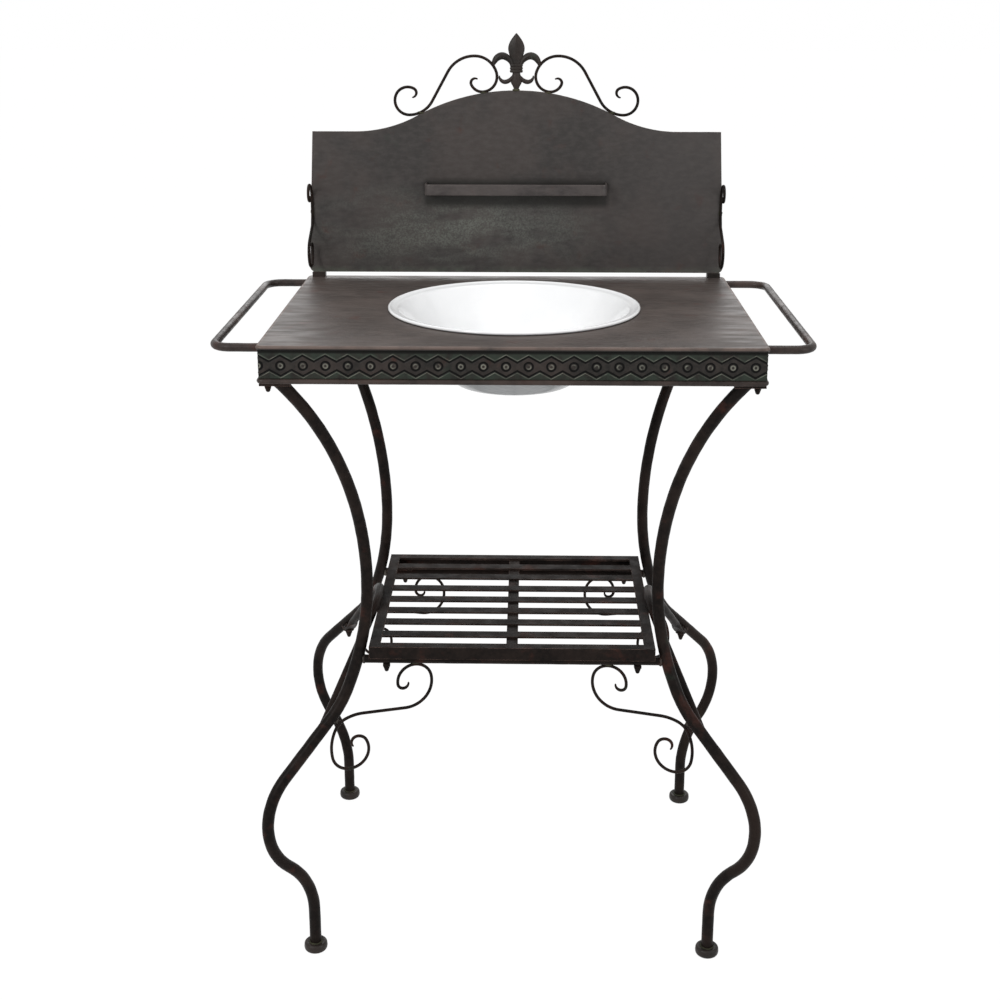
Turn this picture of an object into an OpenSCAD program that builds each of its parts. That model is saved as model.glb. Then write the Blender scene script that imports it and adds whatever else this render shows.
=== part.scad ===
// Iron wash basin stand: a sheet-iron top with an ornamental frieze, four S-curved legs, a slatted
// shelf, a tall splash plate with wrought scrolls, two towel handles and a lift-out enamel basin.
// Origin on the floor under the middle of the top, front towards -Y, +X to the right, +Z up.

/* [Top] */
// Width of the top over its rolled rims
top_w = 650; // [600:1:680]
// Depth of the top over its rolled rims
top_d = 480; // [450:1:520]
// Height of the top surface above the floor
top_z = 900; // [870:1:930]
// Thickness of the top sheet
sheet_t = 2; // [1.5:0.5:3]
// Diameter of the rolled rim
rim_d = 6; // [5:0.5:8]
// Diameter of the hole that takes the basin
basin_hole_d = 340; // [334:1:350]

/* [Frieze] */
// Visible height of the frieze strips
frieze_h = 37; // [32:1:46]
// Thickness of the frieze strips
strip_t = 2.5; // [2:0.5:3]
// How far the pattern stands out of the strips
relief_t = 1.2; // [0.8:0.1:2]
// Spacing of the rings in the pattern
relief_pitch = 28.6; // [24:0.1:34]
// Outer diameter of a ring in the pattern
ring_d = 12; // [9:0.5:14]
// Diameter of the boss inside a ring
boss_d = 7; // [4:0.5:7]
// Width of the pattern's raised lines
line_w = 1.8; // [1:0.1:2]
// Height of the rings' centres above the strips' middle
ring_rise = -1.5; // [-3:0.5:3]
// Distance of the zigzag's outer corners from the strips' middle
zigzag_out = 14.5; // [12:0.5:15]
// Distance of the zigzag's inner corners from the strips' middle
zigzag_in = 6.5; // [5:0.5:8]
// Diameter of the round moulding under the frieze
bead_d = 7; // [6:0.5:10]

/* [Legs] */
// Diameter of the leg bars
leg_d = 17; // [14:0.5:20]
// Distance of a leg's top from the side moulding's centre line
leg_inset_x = 25; // [20:1:32]
// Distance of a leg's top from the front or back moulding's centre line
leg_inset_y = 15; // [13:1:20]
// Height at which a leg leaves the vertical above its foot
ankle_z = 64; // [50:1:80]
// Bend radius of the ankle
ankle_r = 115; // [100:1:130]
// Angle that the ankle leans out
ankle_turn = 47; // [42:1:50]
// Bend radius of the knee
knee_r = 95; // [85:1:105]
// Angle that the knee turns back in
knee_turn = 94; // [90:1:97]
// Length of the straight shin above the knee
shin_len = 101; // [90:1:110]
// Bend radius between the shin and the waist
calf_r = 126; // [110:1:140]
// Angle of the bend between the shin and the waist
calf_turn = 20; // [15:1:24]
// Bend radius just below the waist
lower_waist_r = 338; // [320:1:360]
// Bend radius from the waist to the top
upper_waist_r = 441; // [420:1:480]
// Diameter of the feet
foot_d = 34; // [30:1:40]
// Height of the feet
foot_h = 14; // [10:1:18]
// Thickness of the plates on the leg tops
leg_plate_t = 3; // [2:0.5:4]
// Width of the plates on the leg tops
leg_plate_w = 40; // [38:1:50]
// Depth of the plates on the leg tops
leg_plate_d = 35; // [32:1:45]
// Thickness of the corner lugs inside the frieze
lug_t = 3; // [2:0.5:4]
// Side of a corner lug
lug_side = 50; // [44:1:60]

/* [Shelf] */
// Height of the shelf's top surface
shelf_z = 458; // [450:1:466]
// Width of the shelf frame
shelf_w = 396; // [388:1:400]
// Depth of the shelf frame
shelf_d = 350; // [346:1:356]
// Height of the shelf frame's angle iron
angle_h = 18; // [16:1:22]
// Width of the shelf frame's top flange
angle_w = 15; // [12:1:20]
// Thickness of the shelf's angle iron, slats and strap
angle_t = 3; // [2.5:0.5:4]
// Number of slats
slat_count = 7; // [5:1:8]
// Width of a slat
slat_w = 18; // [14:1:24]
// Spacing of the slats
slat_pitch = 41.8; // [36:0.1:42]
// Width of the strap under the slats
strap_w = 16; // [12:1:25]
// Diameter of the rails that carry the shelf
rail_d = 12; // [10:0.5:14]
// Distance of the shelf bolts from the shelf's sides
shelf_bolt_in = 23; // [20:1:33]

/* [Side arches] */
// Diameter of the side arch tubes
arch_d = 12.5; // [10:0.5:14]
// Bend radius at the top of an arch
arch_r = 95; // [85:1:105]
// Height of an arch's crown above the shelf's top surface
arch_rise = 10; // [8:1:12]
// Height on the front leg where an arch is welded
arch_foot_z = 342; // [334:1:350]
// How far an arch's front end lies outside the leg's axis
arch_out = 3; // [0:0.5:5]
// Distance of an arch's crown in front of the middle
arch_ahead = 5; // [2:0.5:7]
// Height of the bolted rear end of an arch
arch_eye_z = 324; // [318:1:330]
// Width of an arch's flattened rear end
eye_w = 17; // [15:1:20]
// Thickness of an arch's flattened rear end and of its tab
eye_t = 3; // [2.5:0.5:4]

/* [Handles] */
// Diameter of the handle bars
handle_d = 11.5; // [9:0.5:13]
// How far a handle's bar axis stands out from the frieze
handle_out = 63; // [55:1:80]
// Distance between a handle's two arms
handle_span = 430; // [380:1:440]
// Bend radius of a handle's corners
handle_r = 25; // [18:1:35]
// Depth of a handle's axis below the top surface
handle_drop = 7.5; // [6:0.5:10]

/* [Basin] */
// Inside radius of the basin's mouth
mouth_r = 163; // [156:1:164]
// Inside radius of the basin's flat bottom
bottom_r = 84; // [60:1:96]
// Inside depth of the basin under its rim
basin_depth = 106; // [95:1:125]
// Wall thickness of the basin
basin_wall = 2; // [1.5:0.5:3]
// Outer radius of the basin's rim
basin_rim_r = 177.5; // [176:0.5:182]
// Diameter of the rolled edge of the basin's rim
basin_bead_d = 4.8; // [4:0.2:6]
// Gap between the resting basin and the top
basin_gap = 0.3; // [0.2:0.1:0.5]

/* [Splash plate] */
// Width of the splash plate along its foot
splash_w = 642; // [600:1:646]
// How far a side of the splash plate leans in between its foot and its shoulder
splash_taper = 10.5; // [0:0.5:16]
// Thickness of the splash plate
splash_t = 3; // [2:0.5:4]
// Gap between the top surface and the splash plate
splash_gap = 7; // [5:1:10]
// Height of the splash plate's outer corners above the top surface
shoulder_rise = 223.4; // [200:0.1:240]
// Radius of the splash plate's raised crown
crown_r = 318; // [300:1:340]
// Radius of the hollows beside the crown
hollow_r = 200; // [180:1:220]
// Angle of the crown's and the hollows' arcs
crown_turn = 28.2; // [27:0.1:30]
// Radius of the splash plate's lower corners
splash_corner_r = 8; // [4:1:12]
// Width of the two pads under the splash plate
pad_w = 20; // [16:1:30]
// Depth of the two pads under the splash plate
pad_d = 14; // [10:1:18]
// Distance of the splash plate's back from the back moulding's centre line
splash_inset = 2; // [1:0.5:4]

/* [Ornament] */
// Diameter of the scroll bars
scroll_d = 4.5; // [4:0.5:6]
// Height above the top surface at which the side scrolls are welded
side_weld_rise = 100; // [80:1:130]
// Level distance from a bracket's bar to the leg's axis, where they are welded
bracket_reach = 19.5; // [16:0.5:24]
// Thickness of the cast finial
fleur_t = 6; // [5:0.5:8]
// Height of the finial above the splash plate's crown
fleur_h = 84.2; // [76:0.1:92]
// Length of the ledge bar on the splash plate
ledge_w = 278; // [240:1:320]
// Height of the ledge bar
ledge_h = 16.6; // [12:0.2:20]
// Thickness of the ledge bar
ledge_t = 3; // [2:0.5:4]
// How far the ledge bar stands off the splash plate
ledge_out = 30; // [20:1:36]
// Height of the ledge bar's lower edge above the top surface
ledge_rise = 130; // [110:1:150]
// Bend radius of the ledge bar's corners
ledge_r = 9; // [6:1:14]

/* [Fasteners] */
// Diameter of the bolts
bolt_d = 6; // [5:0.5:6]
// Clearance of the bolt holes, on the radius
bolt_gap = 0.3; // [0.2:0.1:0.5]
// Clearance of the bolts in their nuts, on the radius
thread_gap = 0.05; // [0.02:0.01:0.1]
// Diameter of the bolt heads
head_d = 10; // [9:0.5:10.5]
// Height of the bolt heads
head_h = 3.5; // [3:0.5:5]
// Width of the dome nuts across their flats
nut_w = 10; // [9:0.5:10]
// Height of a dome nut's hexagon
nut_h = 5; // [4:0.5:6]
// Height of a dome nut with its dome
nut_total = 13; // [12:0.5:16]
// Distance of the corner bolts from the side moulding's centre line
corner_bolt_x = 8; // [8:0.5:10]
// Distance of the corner bolts from the front or back moulding's centre line
corner_bolt_y = 20; // [19:0.5:22]

/* [Hidden] */
$fn = 64;
// Diameter of a dome nut's tip
nut_tip_d = 0.64 * nut_w;
// How deep a weld joins two bars
weld = 0.5;

// Centre lines of the rolled rim, the frieze faces and the moulding
edge_x = (top_w - rim_d) / 2;
edge_y = (top_d - rim_d) / 2;
rim_z = top_z - rim_d / 2;
frieze_top = top_z - rim_d;
frieze_bottom = frieze_top - frieze_h;
bead_z = frieze_bottom - bead_d / 2;
rim_bend = rim_d / 2 + 2.5;
leg_plate_z = frieze_bottom - bead_d - leg_plate_t;

// Legs: each stands in a vertical plane through the middle, described by [distance out, height]
leg_top_x = edge_x - leg_inset_x;
leg_top_y = edge_y - leg_inset_y;
leg_az = atan2(leg_top_y, leg_top_x);
leg_bottom = foot_h / 2;
lower_waist_turn = knee_turn - ankle_turn - calf_turn;
leg_lower = [[0, ankle_z - leg_bottom], [ankle_r, -ankle_turn], [knee_r, knee_turn], [0, shin_len],
  [calf_r, -calf_turn], [lower_waist_r, -lower_waist_turn]];
waist = chain_end([0, leg_bottom, 90], leg_lower);
upper_turn = asin((leg_plate_z - waist[1]) / upper_waist_r);
foot_out = norm([leg_top_x, leg_top_y]) - waist[0] - upper_waist_r * (1 - cos(upper_turn));
leg_path = concat(leg_lower, [[upper_waist_r, -upper_turn]]);
leg_start = [foot_out, leg_bottom, 90];
leg_line = [for (p = chain_places(leg_start, leg_path, 2)) [p[1], p[0]]];
// Turn that carries the bar past the plate, where it is cut level
overrun = 2;

// Shelf
rail_z = shelf_z - angle_h - rail_d / 2;
rail_y = leg_point(rail_z)[1];
rail_half = leg_point(rail_z)[0] - leg_d / 2 + weld * 4;
shelf_flange_x = shelf_w / 2 - angle_w;
shelf_bolt_x = shelf_w / 2 - shelf_bolt_in;
// Tabs on the frame that the bolts go through, from inside the rail to the frame's flange
tab_w = 24;
tab_in = min(rail_y, shelf_d / 2 - angle_t) - rail_d;
tab_out = max(rail_y + rail_d / 2 + bolt_d, shelf_d / 2 - angle_t / 2);
tab_z = shelf_z - angle_h;

// Side arches: a plane that leans in, [along the side, down the plane] from the crown
shin_angle = 90 - ankle_turn + knee_turn;
// Front end: on the rear side of the leg, square to the shin seen from the side
arch_leg = leg_point(arch_foot_z);
arch_reach = sqrt(((leg_d + arch_d) / 2 - weld) ^ 2 - arch_out ^ 2);
arch_behind = atan2(-cos(shin_angle) * sin(leg_az), sin(shin_angle));
arch_x = shelf_w / 2 + 1.5;
arch_z = shelf_z + arch_rise;
arch_end_x = arch_leg[0] + arch_out;
arch_end_y = arch_leg[1] - arch_reach * cos(arch_behind) - arch_ahead;
arch_end_z = arch_foot_z - arch_reach * sin(arch_behind);
arch_lean = atan2(arch_end_x - arch_x, arch_z - arch_end_z);
arch_fall = norm([arch_end_x - arch_x, arch_z - arch_end_z]);
arch_run = sqrt(arch_end_y ^ 2 + (arch_fall - arch_r) ^ 2 - arch_r ^ 2);
arch_turn = atan2(arch_fall - arch_r, arch_end_y) + atan2(arch_r, arch_run);
// Rear end: where the axis of the tube meets the eye's height
eye_fall = (arch_z - arch_eye_z - eye_t / 2) / cos(arch_lean);
eye_back = (arch_fall - eye_fall) / sin(arch_turn);
eye_az = atan2(cos(arch_turn), sin(arch_turn) * sin(arch_lean));
eye_pitch = asin(sin(arch_turn) * cos(arch_lean));
eye_flat = 30;
eye_bend = 7;
// The end is hammered down towards the tube's lower side
eye_lower = 3;
eye_reach = eye_bend - eye_t / 2 * tan(eye_pitch / 2) - eye_lower / sin(eye_pitch);
eye_x = arch_x + eye_fall * sin(arch_lean) + eye_reach * cos(eye_az);
eye_y = arch_end_y - arch_ahead - eye_back * cos(arch_turn) + eye_reach * sin(eye_az);

// Scroll brackets between the rails and the legs: [out from the rail weld, height]
bracket_top = [[7.5, -184], [25, -92], [23, -84], [39, -101]];
bracket_tail = [[0, 59], [60, 25], [30, 38], [72, 37], [23, 84], [29, 113], [12.5, 71], [9, 128]];
bracket_heading = 282;
bracket_path = concat(bracket_top, bracket_tail);
// The bar's highest point is reached when it heads level, part of the way round the second arc
bracket_peak = chain_end([0, 0, bracket_heading],
  [bracket_top[0], [bracket_top[1][0], 184 - bracket_heading]]);
bracket_weld_z = rail_z - rail_d / 2 - scroll_d / 2 + weld;
bracket_start = [-bracket_peak[0], -bracket_peak[1], bracket_heading];
// Shoulder of the bracket, half way round its seventh segment, that a short weld joins to the leg
bracket_shoulder = along(chain_end(bracket_start, [for (i = [0:5]) bracket_path[i]]), bracket_path[6], 0.5);
tie_z = bracket_weld_z + bracket_shoulder[1];
tie_leg = leg_point(tie_z);
bracket_x = tie_leg[0] - sqrt((bracket_reach - bracket_shoulder[0]) ^ 2 - (tie_leg[1] - rail_y) ^ 2);
bracket_az = atan2(tie_leg[1] - rail_y, tie_leg[0] - bracket_x);

// Splash plate and ornament
splash_y = edge_y - splash_inset - splash_t;
splash_mid_y = splash_y + splash_t / 2;
splash_z = top_z + splash_gap;
crown_half = (crown_r + hollow_r) * sin(crown_turn);
crown_rise = (crown_r + hollow_r) * (1 - cos(crown_turn));
shoulder_z = top_z + shoulder_rise;
crown_z = shoulder_z + crown_rise;
crest_path = [[6.5, 151], [18, 68], [22.5, 107], [34, 68], [46, 64], [0, 49], [40, -61], [21.5, -104],
  [19.5, -105], [7, -149]];
crest_start = [-58.1, crown_z + 14 + scroll_d / 2, 143];
side_weld_z = top_z + side_weld_rise;
side_upper = [[0, 20], [25, -90], [12, -180], [8, -80]];
side_lower = [[0, 8], [14, 62], [0, 36], [22, -62], [22, -90], [18, -90], [0, 8], [7, -150]];
side_scroll_x = splash_half(side_weld_z) - scroll_d / 2;
// The finial's band and its ribs
band_z = 27;
band_h = 12;
band_half = 9.4;
rib_out = 0.8;
rib_h = 2.4;
rib_pitch = 3.6;

// Basin, from the underside of its rim
basin_z = top_z + basin_gap;
basin_floor_z = basin_z + basin_bead_d / 2 - basin_depth;
basin_steps = 12;

// ---- Bent bars ----
// A chain is a list of segments: [radius, turn] is an arc, left turns positive; [0, length] is straight.
// A place on it is [x, y, heading].

// Place at a fraction f of segment s, entered at place p
function along(p, s, f) =
  s[0] == 0
    ? [p[0] + f * s[1] * cos(p[2]), p[1] + f * s[1] * sin(p[2]), p[2]]
    : let (h = p[2] + f * s[1], q = sign(s[1]) * s[0])
      [p[0] + q * (sin(h) - sin(p[2])), p[1] - q * (cos(h) - cos(p[2])), h];

// Place at the end of a chain
function chain_end(p, chain, i = 0) =
  i == len(chain) ? p : chain_end(along(p, chain[i], 1), chain, i + 1);

// Places along a chain: a straight has its ends, an arc has one place every step degrees or less
function chain_places(p, chain, step, i = 0) =
  i == len(chain)
    ? [p]
    : let (n = chain[i][0] == 0 ? 1 : ceil(abs(chain[i][1]) / step))
      concat([for (k = [0:n - 1]) along(p, chain[i], k / n)],
        chain_places(along(p, chain[i], 1), chain, step, i + 1));

// Point on a leg's axis at height z, as [x, y] on the right rear leg
function leg_point(z) = lookup(z, leg_line) * [cos(leg_az), sin(leg_az)];

// A round bar bent along a chain in the XY plane, from the origin towards +X: rings square to the
// bar's heading, joined by triangles
module bent_bar(d, chain, sides = 12, step = 6) {
  places = chain_places([0, 0, 0], chain, step);
  last = len(places) - 1;
  points = [for (p = places, k = [0:sides - 1]) let (a = 360 * k / sides)
    [p[0] - d / 2 * cos(a) * sin(p[2]), p[1] + d / 2 * cos(a) * cos(p[2]), d / 2 * sin(a)]];
  faces = concat(
    [[for (k = [0:sides - 1]) k]],
    [for (i = [0:last - 1], k = [0:sides - 1]) let (a = i * sides + k, b = i * sides + (k + 1) % sides)
      [a, a + sides, b + sides]],
    [for (i = [0:last - 1], k = [0:sides - 1]) let (a = i * sides + k, b = i * sides + (k + 1) % sides)
      [a, b + sides, b]],
    [[for (k = [sides - 1:-1:0]) last * sides + k]]);
  polyhedron(points, faces);
}

// A bent bar standing in the XZ plane, from place p = [x, z, heading]
module upright_bar(d, p, chain, sides = 12, step = 6) {
  translate([p[0], 0, p[1]]) rotate([90, 0, 0]) rotate([0, 0, p[2]]) bent_bar(d, chain, sides, step);
}

// A thin scroll bar standing in the XZ plane
module scroll_bar(p, chain) {
  upright_bar(scroll_d, p, chain, 8, 15);
}

// Copies at the four corners, for a shape drawn in the +X +Y quarter
module at_corners() {
  for (sx = [0, 1], sy = [0, 1])
    mirror([sx, 0, 0]) mirror([0, sy, 0]) children();
}

// One corner of four: left is -X, front is -Y
module corner(left, front) {
  mirror([left ? 1 : 0, 0, 0]) mirror([0, front ? 1 : 0, 0]) children();
}

// ---- Top ----
// Straight bars along the edges with a quarter bend at each corner, as one closed hoop
module hoop(d, x, y, bend) {
  for (s = [-1, 1]) {
    translate([bend - x, s * y, 0]) rotate([0, 90, 0]) cylinder(d = d, h = 2 * (x - bend));
    translate([s * x, bend - y, 0]) rotate([-90, 0, 0]) cylinder(d = d, h = 2 * (y - bend));
  }
  at_corners() translate([x - bend, y - bend, 0])
    rotate_extrude(angle = 90) translate([bend, 0]) circle(d = d);
}

module tray_top() {
  color("#4a433f") difference() {
    union() {
      translate([0, 0, rim_z]) hoop(rim_d, edge_x, edge_y, rim_bend);
      translate([-edge_x, -edge_y, top_z - sheet_t]) linear_extrude(sheet_t)
        translate([rim_bend, rim_bend]) square([2 * (edge_x - rim_bend), 2 * (edge_y - rim_bend)]);
      for (s = [0, 1]) {
        mirror([s, 0, 0]) translate([edge_x - rim_bend, rim_bend - edge_y, top_z - sheet_t])
          cube([rim_bend, 2 * (edge_y - rim_bend), sheet_t]);
        mirror([0, s, 0]) translate([rim_bend - edge_x, edge_y - rim_bend, top_z - sheet_t])
          cube([2 * (edge_x - rim_bend), rim_bend, sheet_t]);
      }
      at_corners() translate([edge_x - rim_bend, edge_y - rim_bend, top_z - sheet_t])
        cylinder(r = rim_bend, h = sheet_t);
    }
    translate([0, 0, top_z - rim_d]) cylinder(d = basin_hole_d, h = 2 * rim_d);
  }
}

// The raised pattern on a strip of length l: bossed rings between two zigzag lines
module relief(l) {
  n = floor(l / relief_pitch);
  intersection() {
    translate([0, -frieze_h / 2]) square([l, frieze_h]);
    union() {
      for (i = [0:n]) translate([i * relief_pitch, ring_rise]) {
        difference() {
          circle(d = ring_d);
          circle(d = ring_d - 2 * line_w);
        }
        circle(d = boss_d - line_w);
      }
      for (s = [-1, 1]) polygon(concat(
        [for (i = [0:2 * n + 2]) zigzag_point(i, s, line_w / 2)],
        [for (i = [2 * n + 2:-1:0]) zigzag_point(i, s, -line_w / 2)]));
    }
  }
}

// Corner i of the upper (s = 1) or lower (s = -1) zigzag, half a line's width up or down
function zigzag_point(i, s, offset) =
  [i * relief_pitch / 2, ring_rise + s * (i % 2 == 0 ? zigzag_out : zigzag_in) + offset];

// A frieze strip of length l on the face y = 0, pattern towards -Y
module frieze_strip(l) {
  color("#2e2b28") {
    translate([-l / 2, 0, frieze_bottom]) cube([l, strip_t, frieze_h]);
    translate([-l / 2, 0, frieze_bottom + frieze_h / 2])
      rotate([90, 0, 0]) linear_extrude(relief_t) relief(l);
  }
}

module frieze_long(back) {
  rotate([0, 0, back ? 180 : 0]) translate([0, -edge_y, 0]) frieze_strip(2 * edge_x);
}

module frieze_side(left) {
  rotate([0, 0, left ? -90 : 90]) translate([0, -edge_x, 0]) frieze_strip(2 * (edge_y - strip_t));
}

// Front or back moulding with a quarter bend at each end
module bead_long(back) {
  bend = rim_bend;
  color("#2b2725") mirror([0, back ? 1 : 0, 0]) translate([0, 0, bead_z]) {
    translate([bend - edge_x, -edge_y, 0]) rotate([0, 90, 0]) cylinder(d = bead_d, h = 2 * (edge_x - bend));
    for (s = [0, 1]) mirror([s, 0, 0]) translate([edge_x - bend, bend - edge_y, 0])
      rotate([0, 0, -90]) rotate_extrude(angle = 90) translate([bend, 0]) circle(d = bead_d);
  }
}

module bead_side(left) {
  l = 2 * (edge_y - rim_bend);
  color("#2b2725") mirror([left ? 1 : 0, 0, 0])
    translate([edge_x, -l / 2, bead_z]) rotate([-90, 0, 0]) cylinder(d = bead_d, h = l);
}

// ---- Fasteners ----
module bolt_hole(x, y, z, h) {
  translate([x, y, z - 1]) cylinder(d = bolt_d + 2 * bolt_gap, h = h + 2);
}

// A bolt through a grip of length l, head above height z
module bolt(x, y, z, l) {
  color("#33302d") {
    translate([x, y, z]) cylinder(d = head_d, h = head_h);
    translate([x, y, z - l - nut_h]) cylinder(d = bolt_d, h = l + nut_h);
  }
}

// A dome nut whose seat is at height z, dome down
module dome_nut(x, y, z) {
  color("#33302d") difference() {
    union() {
      translate([x, y, z - nut_h]) cylinder(d = nut_w / cos(30), h = nut_h, $fn = 6);
      translate([x, y, z - nut_total + nut_tip_d / 2])
        cylinder(d1 = nut_tip_d, d2 = nut_w - 1, h = nut_total - nut_h - nut_tip_d / 2);
      translate([x, y, z - nut_total + nut_tip_d / 2]) sphere(d = nut_tip_d);
    }
    translate([x, y, z - nut_h - 1]) cylinder(d = bolt_d + 2 * thread_gap, h = nut_h + 2);
  }
}

// ---- Legs ----
module leg(left, front) {
  color("#2b2624") corner(left, front) rotate([0, 0, leg_az]) difference() {
    upright_bar(leg_d, leg_start, concat(leg_lower, [[upper_waist_r, -upper_turn - overrun]]));
    translate([0, -leg_d, leg_plate_z]) cube([2 * edge_x, 2 * leg_d, 2 * leg_d]);
  }
}

module foot(left, front) {
  color("#2b2624") corner(left, front) rotate([0, 0, leg_az]) translate([foot_out, 0, 0]) difference() {
    union() {
      translate([0, 0, foot_h / 2])
        rotate_extrude() translate([foot_d / 2 - foot_h / 2, 0]) circle(d = foot_h);
      cylinder(d = foot_d - foot_h, h = foot_h);
    }
    translate([0, 0, leg_bottom]) cylinder(d = leg_d, h = foot_h);
  }
}

module leg_plate(left, front) {
  color("#2b2725") corner(left, front) difference() {
    translate([edge_x - leg_plate_w, edge_y - leg_plate_d, leg_plate_z])
      cube([leg_plate_w, leg_plate_d, leg_plate_t]);
    bolt_hole(edge_x - corner_bolt_x, edge_y - corner_bolt_y, leg_plate_z, leg_plate_t);
  }
}

module corner_lug(left, front) {
  x = edge_x - strip_t;
  y = edge_y - strip_t;
  color("#2b2725") corner(left, front) difference() {
    translate([0, 0, frieze_bottom]) linear_extrude(lug_t)
      polygon([[x, y], [x - lug_side, y], [x, y - lug_side]]);
    bolt_hole(edge_x - corner_bolt_x, edge_y - corner_bolt_y, frieze_bottom, lug_t);
  }
}

module top_bolts() {
  at_corners() bolt(edge_x - corner_bolt_x, edge_y - corner_bolt_y, frieze_bottom + lug_t,
    lug_t + bead_d + leg_plate_t);
}

module top_dome_nuts() {
  at_corners() dome_nut(edge_x - corner_bolt_x, edge_y - corner_bolt_y, leg_plate_z);
}

// ---- Shelf ----
module rail(front) {
  color("#2b2624") mirror([0, front ? 1 : 0, 0]) difference() {
    translate([-rail_half, rail_y, rail_z]) rotate([0, 90, 0]) cylinder(d = rail_d, h = 2 * rail_half);
    for (s = [-1, 1]) bolt_hole(s * shelf_bolt_x, rail_y, rail_z - rail_d / 2, rail_d);
  }
}

module shelf_frame() {
  color("#38322f") difference() {
    union() {
      translate([-shelf_w / 2, -shelf_d / 2, shelf_z - angle_h]) difference() {
        cube([shelf_w, shelf_d, angle_h]);
        translate([angle_t, angle_t, -1])
          cube([shelf_w - 2 * angle_t, shelf_d - 2 * angle_t, angle_h - angle_t + 1]);
        translate([angle_w, angle_w, 0]) cube([shelf_w - 2 * angle_w, shelf_d - 2 * angle_w, angle_h + 1]);
      }
      at_corners() translate([shelf_bolt_x - tab_w / 2, tab_in, tab_z])
        cube([tab_w, tab_out - tab_in, angle_t]);
    }
    at_corners() bolt_hole(shelf_bolt_x, rail_y, tab_z, angle_t);
  }
}

module shelf_slats() {
  color("#38322f") for (i = [0:slat_count - 1])
    translate([-shelf_flange_x, (i - (slat_count - 1) / 2) * slat_pitch - slat_w / 2, shelf_z - angle_t])
      cube([2 * shelf_flange_x, slat_w, angle_t]);
}

module shelf_strap() {
  l = shelf_d - 2 * angle_t;
  color("#38322f") translate([-strap_w / 2, -l / 2, shelf_z - 2 * angle_t]) cube([strap_w, l, angle_t]);
}

module shelf_bolts() {
  at_corners() bolt(shelf_bolt_x, rail_y, tab_z + angle_t, angle_t + rail_d);
}

module shelf_dome_nuts() {
  at_corners() dome_nut(shelf_bolt_x, rail_y, rail_z - rail_d / 2);
}

// ---- Side arches ----
// The right arch: welded to the front leg, bent over, flattened and bolted at the rear
module arch(left) {
  tube_rear = arch_run - eye_back - eye_flat;
  color("#2b2624") mirror([left ? 1 : 0, 0, 0]) {
    translate([arch_x, -arch_ahead, arch_z]) rotate([0, -arch_lean, 0]) rotate([90, 0, 90])
      translate([-arch_end_y, -arch_fall, 0]) rotate([0, 0, arch_turn])
        bent_bar(arch_d, [[0, arch_run], [arch_r, -2 * arch_turn], [0, tube_rear]]);
    translate([eye_x, eye_y, arch_eye_z]) rotate([0, 0, eye_az]) difference() {
      union() {
        cylinder(d = eye_w, h = eye_t);
        translate([0, eye_w / 2, 0]) rotate([90, 0, 0]) linear_extrude(eye_w) polygon(eye_profile());
      }
      bolt_hole(0, 0, 0, eye_t);
    }
  }
}

// Side view of the flattened end: level under the bolt, then bent up along the tube
function eye_profile() =
  let (l = eye_flat + eye_t, c = cos(eye_pitch), q = sin(eye_pitch))
  [[0, 0], [-eye_bend, 0], [-eye_bend - l * c, l * q], [-eye_bend - l * c + eye_t * q, l * q + eye_t * c],
    [-eye_bend + eye_t * tan(eye_pitch / 2), eye_t], [0, eye_t]];

module arch_tab(left) {
  root = leg_point(arch_eye_z - eye_t / 2);
  az = atan2(root[1] - eye_y, root[0] - eye_x);
  reach = norm([root[0] - eye_x, root[1] - eye_y]) - leg_d / 2 - weld;
  color("#2b2624") mirror([left ? 1 : 0, 0, 0])
    translate([eye_x, eye_y, arch_eye_z - eye_t]) rotate([0, 0, az]) difference() {
      union() {
        cylinder(d = eye_w, h = eye_t);
        translate([0, -eye_w / 2, 0]) cube([reach, eye_w, eye_t]);
      }
      bolt_hole(0, 0, 0, eye_t);
    }
}

module arch_bolts() {
  for (s = [-1, 1]) bolt(s * eye_x, eye_y, arch_eye_z + eye_t, 2 * eye_t);
}

module arch_dome_nuts() {
  for (s = [-1, 1]) dome_nut(s * eye_x, eye_y, arch_eye_z - eye_t);
}

// ---- Scroll brackets ----
// Drawn to the left of the rail weld, in a plane that turns out to meet the leg
module bracket(left, front) {
  tie = tie_vector();
  color("#2b2624") corner(left, front) translate([bracket_x, rail_y, bracket_weld_z]) {
    rotate([0, 0, bracket_az]) mirror([1, 0, 0]) scroll_bar(bracket_start, bracket_path);
    translate(tie_foot()) rotate([0, acos(tie[2] / norm(tie)), atan2(tie[1], tie[0])])
      cylinder(d = scroll_d, h = norm(tie) - leg_d / 2 + weld);
  }
}

// Where the tie leaves the bracket's shoulder, from the rail weld
function tie_foot() =
  [-bracket_shoulder[0] * cos(bracket_az), -bracket_shoulder[0] * sin(bracket_az), bracket_shoulder[1]];

// From the bracket's shoulder to the nearest point of the shin's axis
function tie_vector() =
  let (dir = [cos(shin_angle) * cos(leg_az), cos(shin_angle) * sin(leg_az), sin(shin_angle)],
    on_leg = [tie_leg[0], tie_leg[1], tie_z],
    from = [bracket_x, rail_y, bracket_weld_z] + tie_foot(),
    away = on_leg - from)
  away - dir * (away * dir);

// ---- Handles ----
module handle(left) {
  arm = handle_out - handle_r;
  color("#2b2624") mirror([left ? 1 : 0, 0, 0])
    translate([edge_x, -handle_span / 2, top_z - handle_drop])
      bent_bar(handle_d,
        [[0, arm], [handle_r, 90], [0, handle_span - 2 * handle_r], [handle_r, 90], [0, arm]]);
}

// ---- Basin ----
function bowl_point(t, wall) =
  [bottom_r + (mouth_r - bottom_r) * t + wall * t, basin_depth * t ^ 1.25 - wall * (1 - t)];

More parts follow.
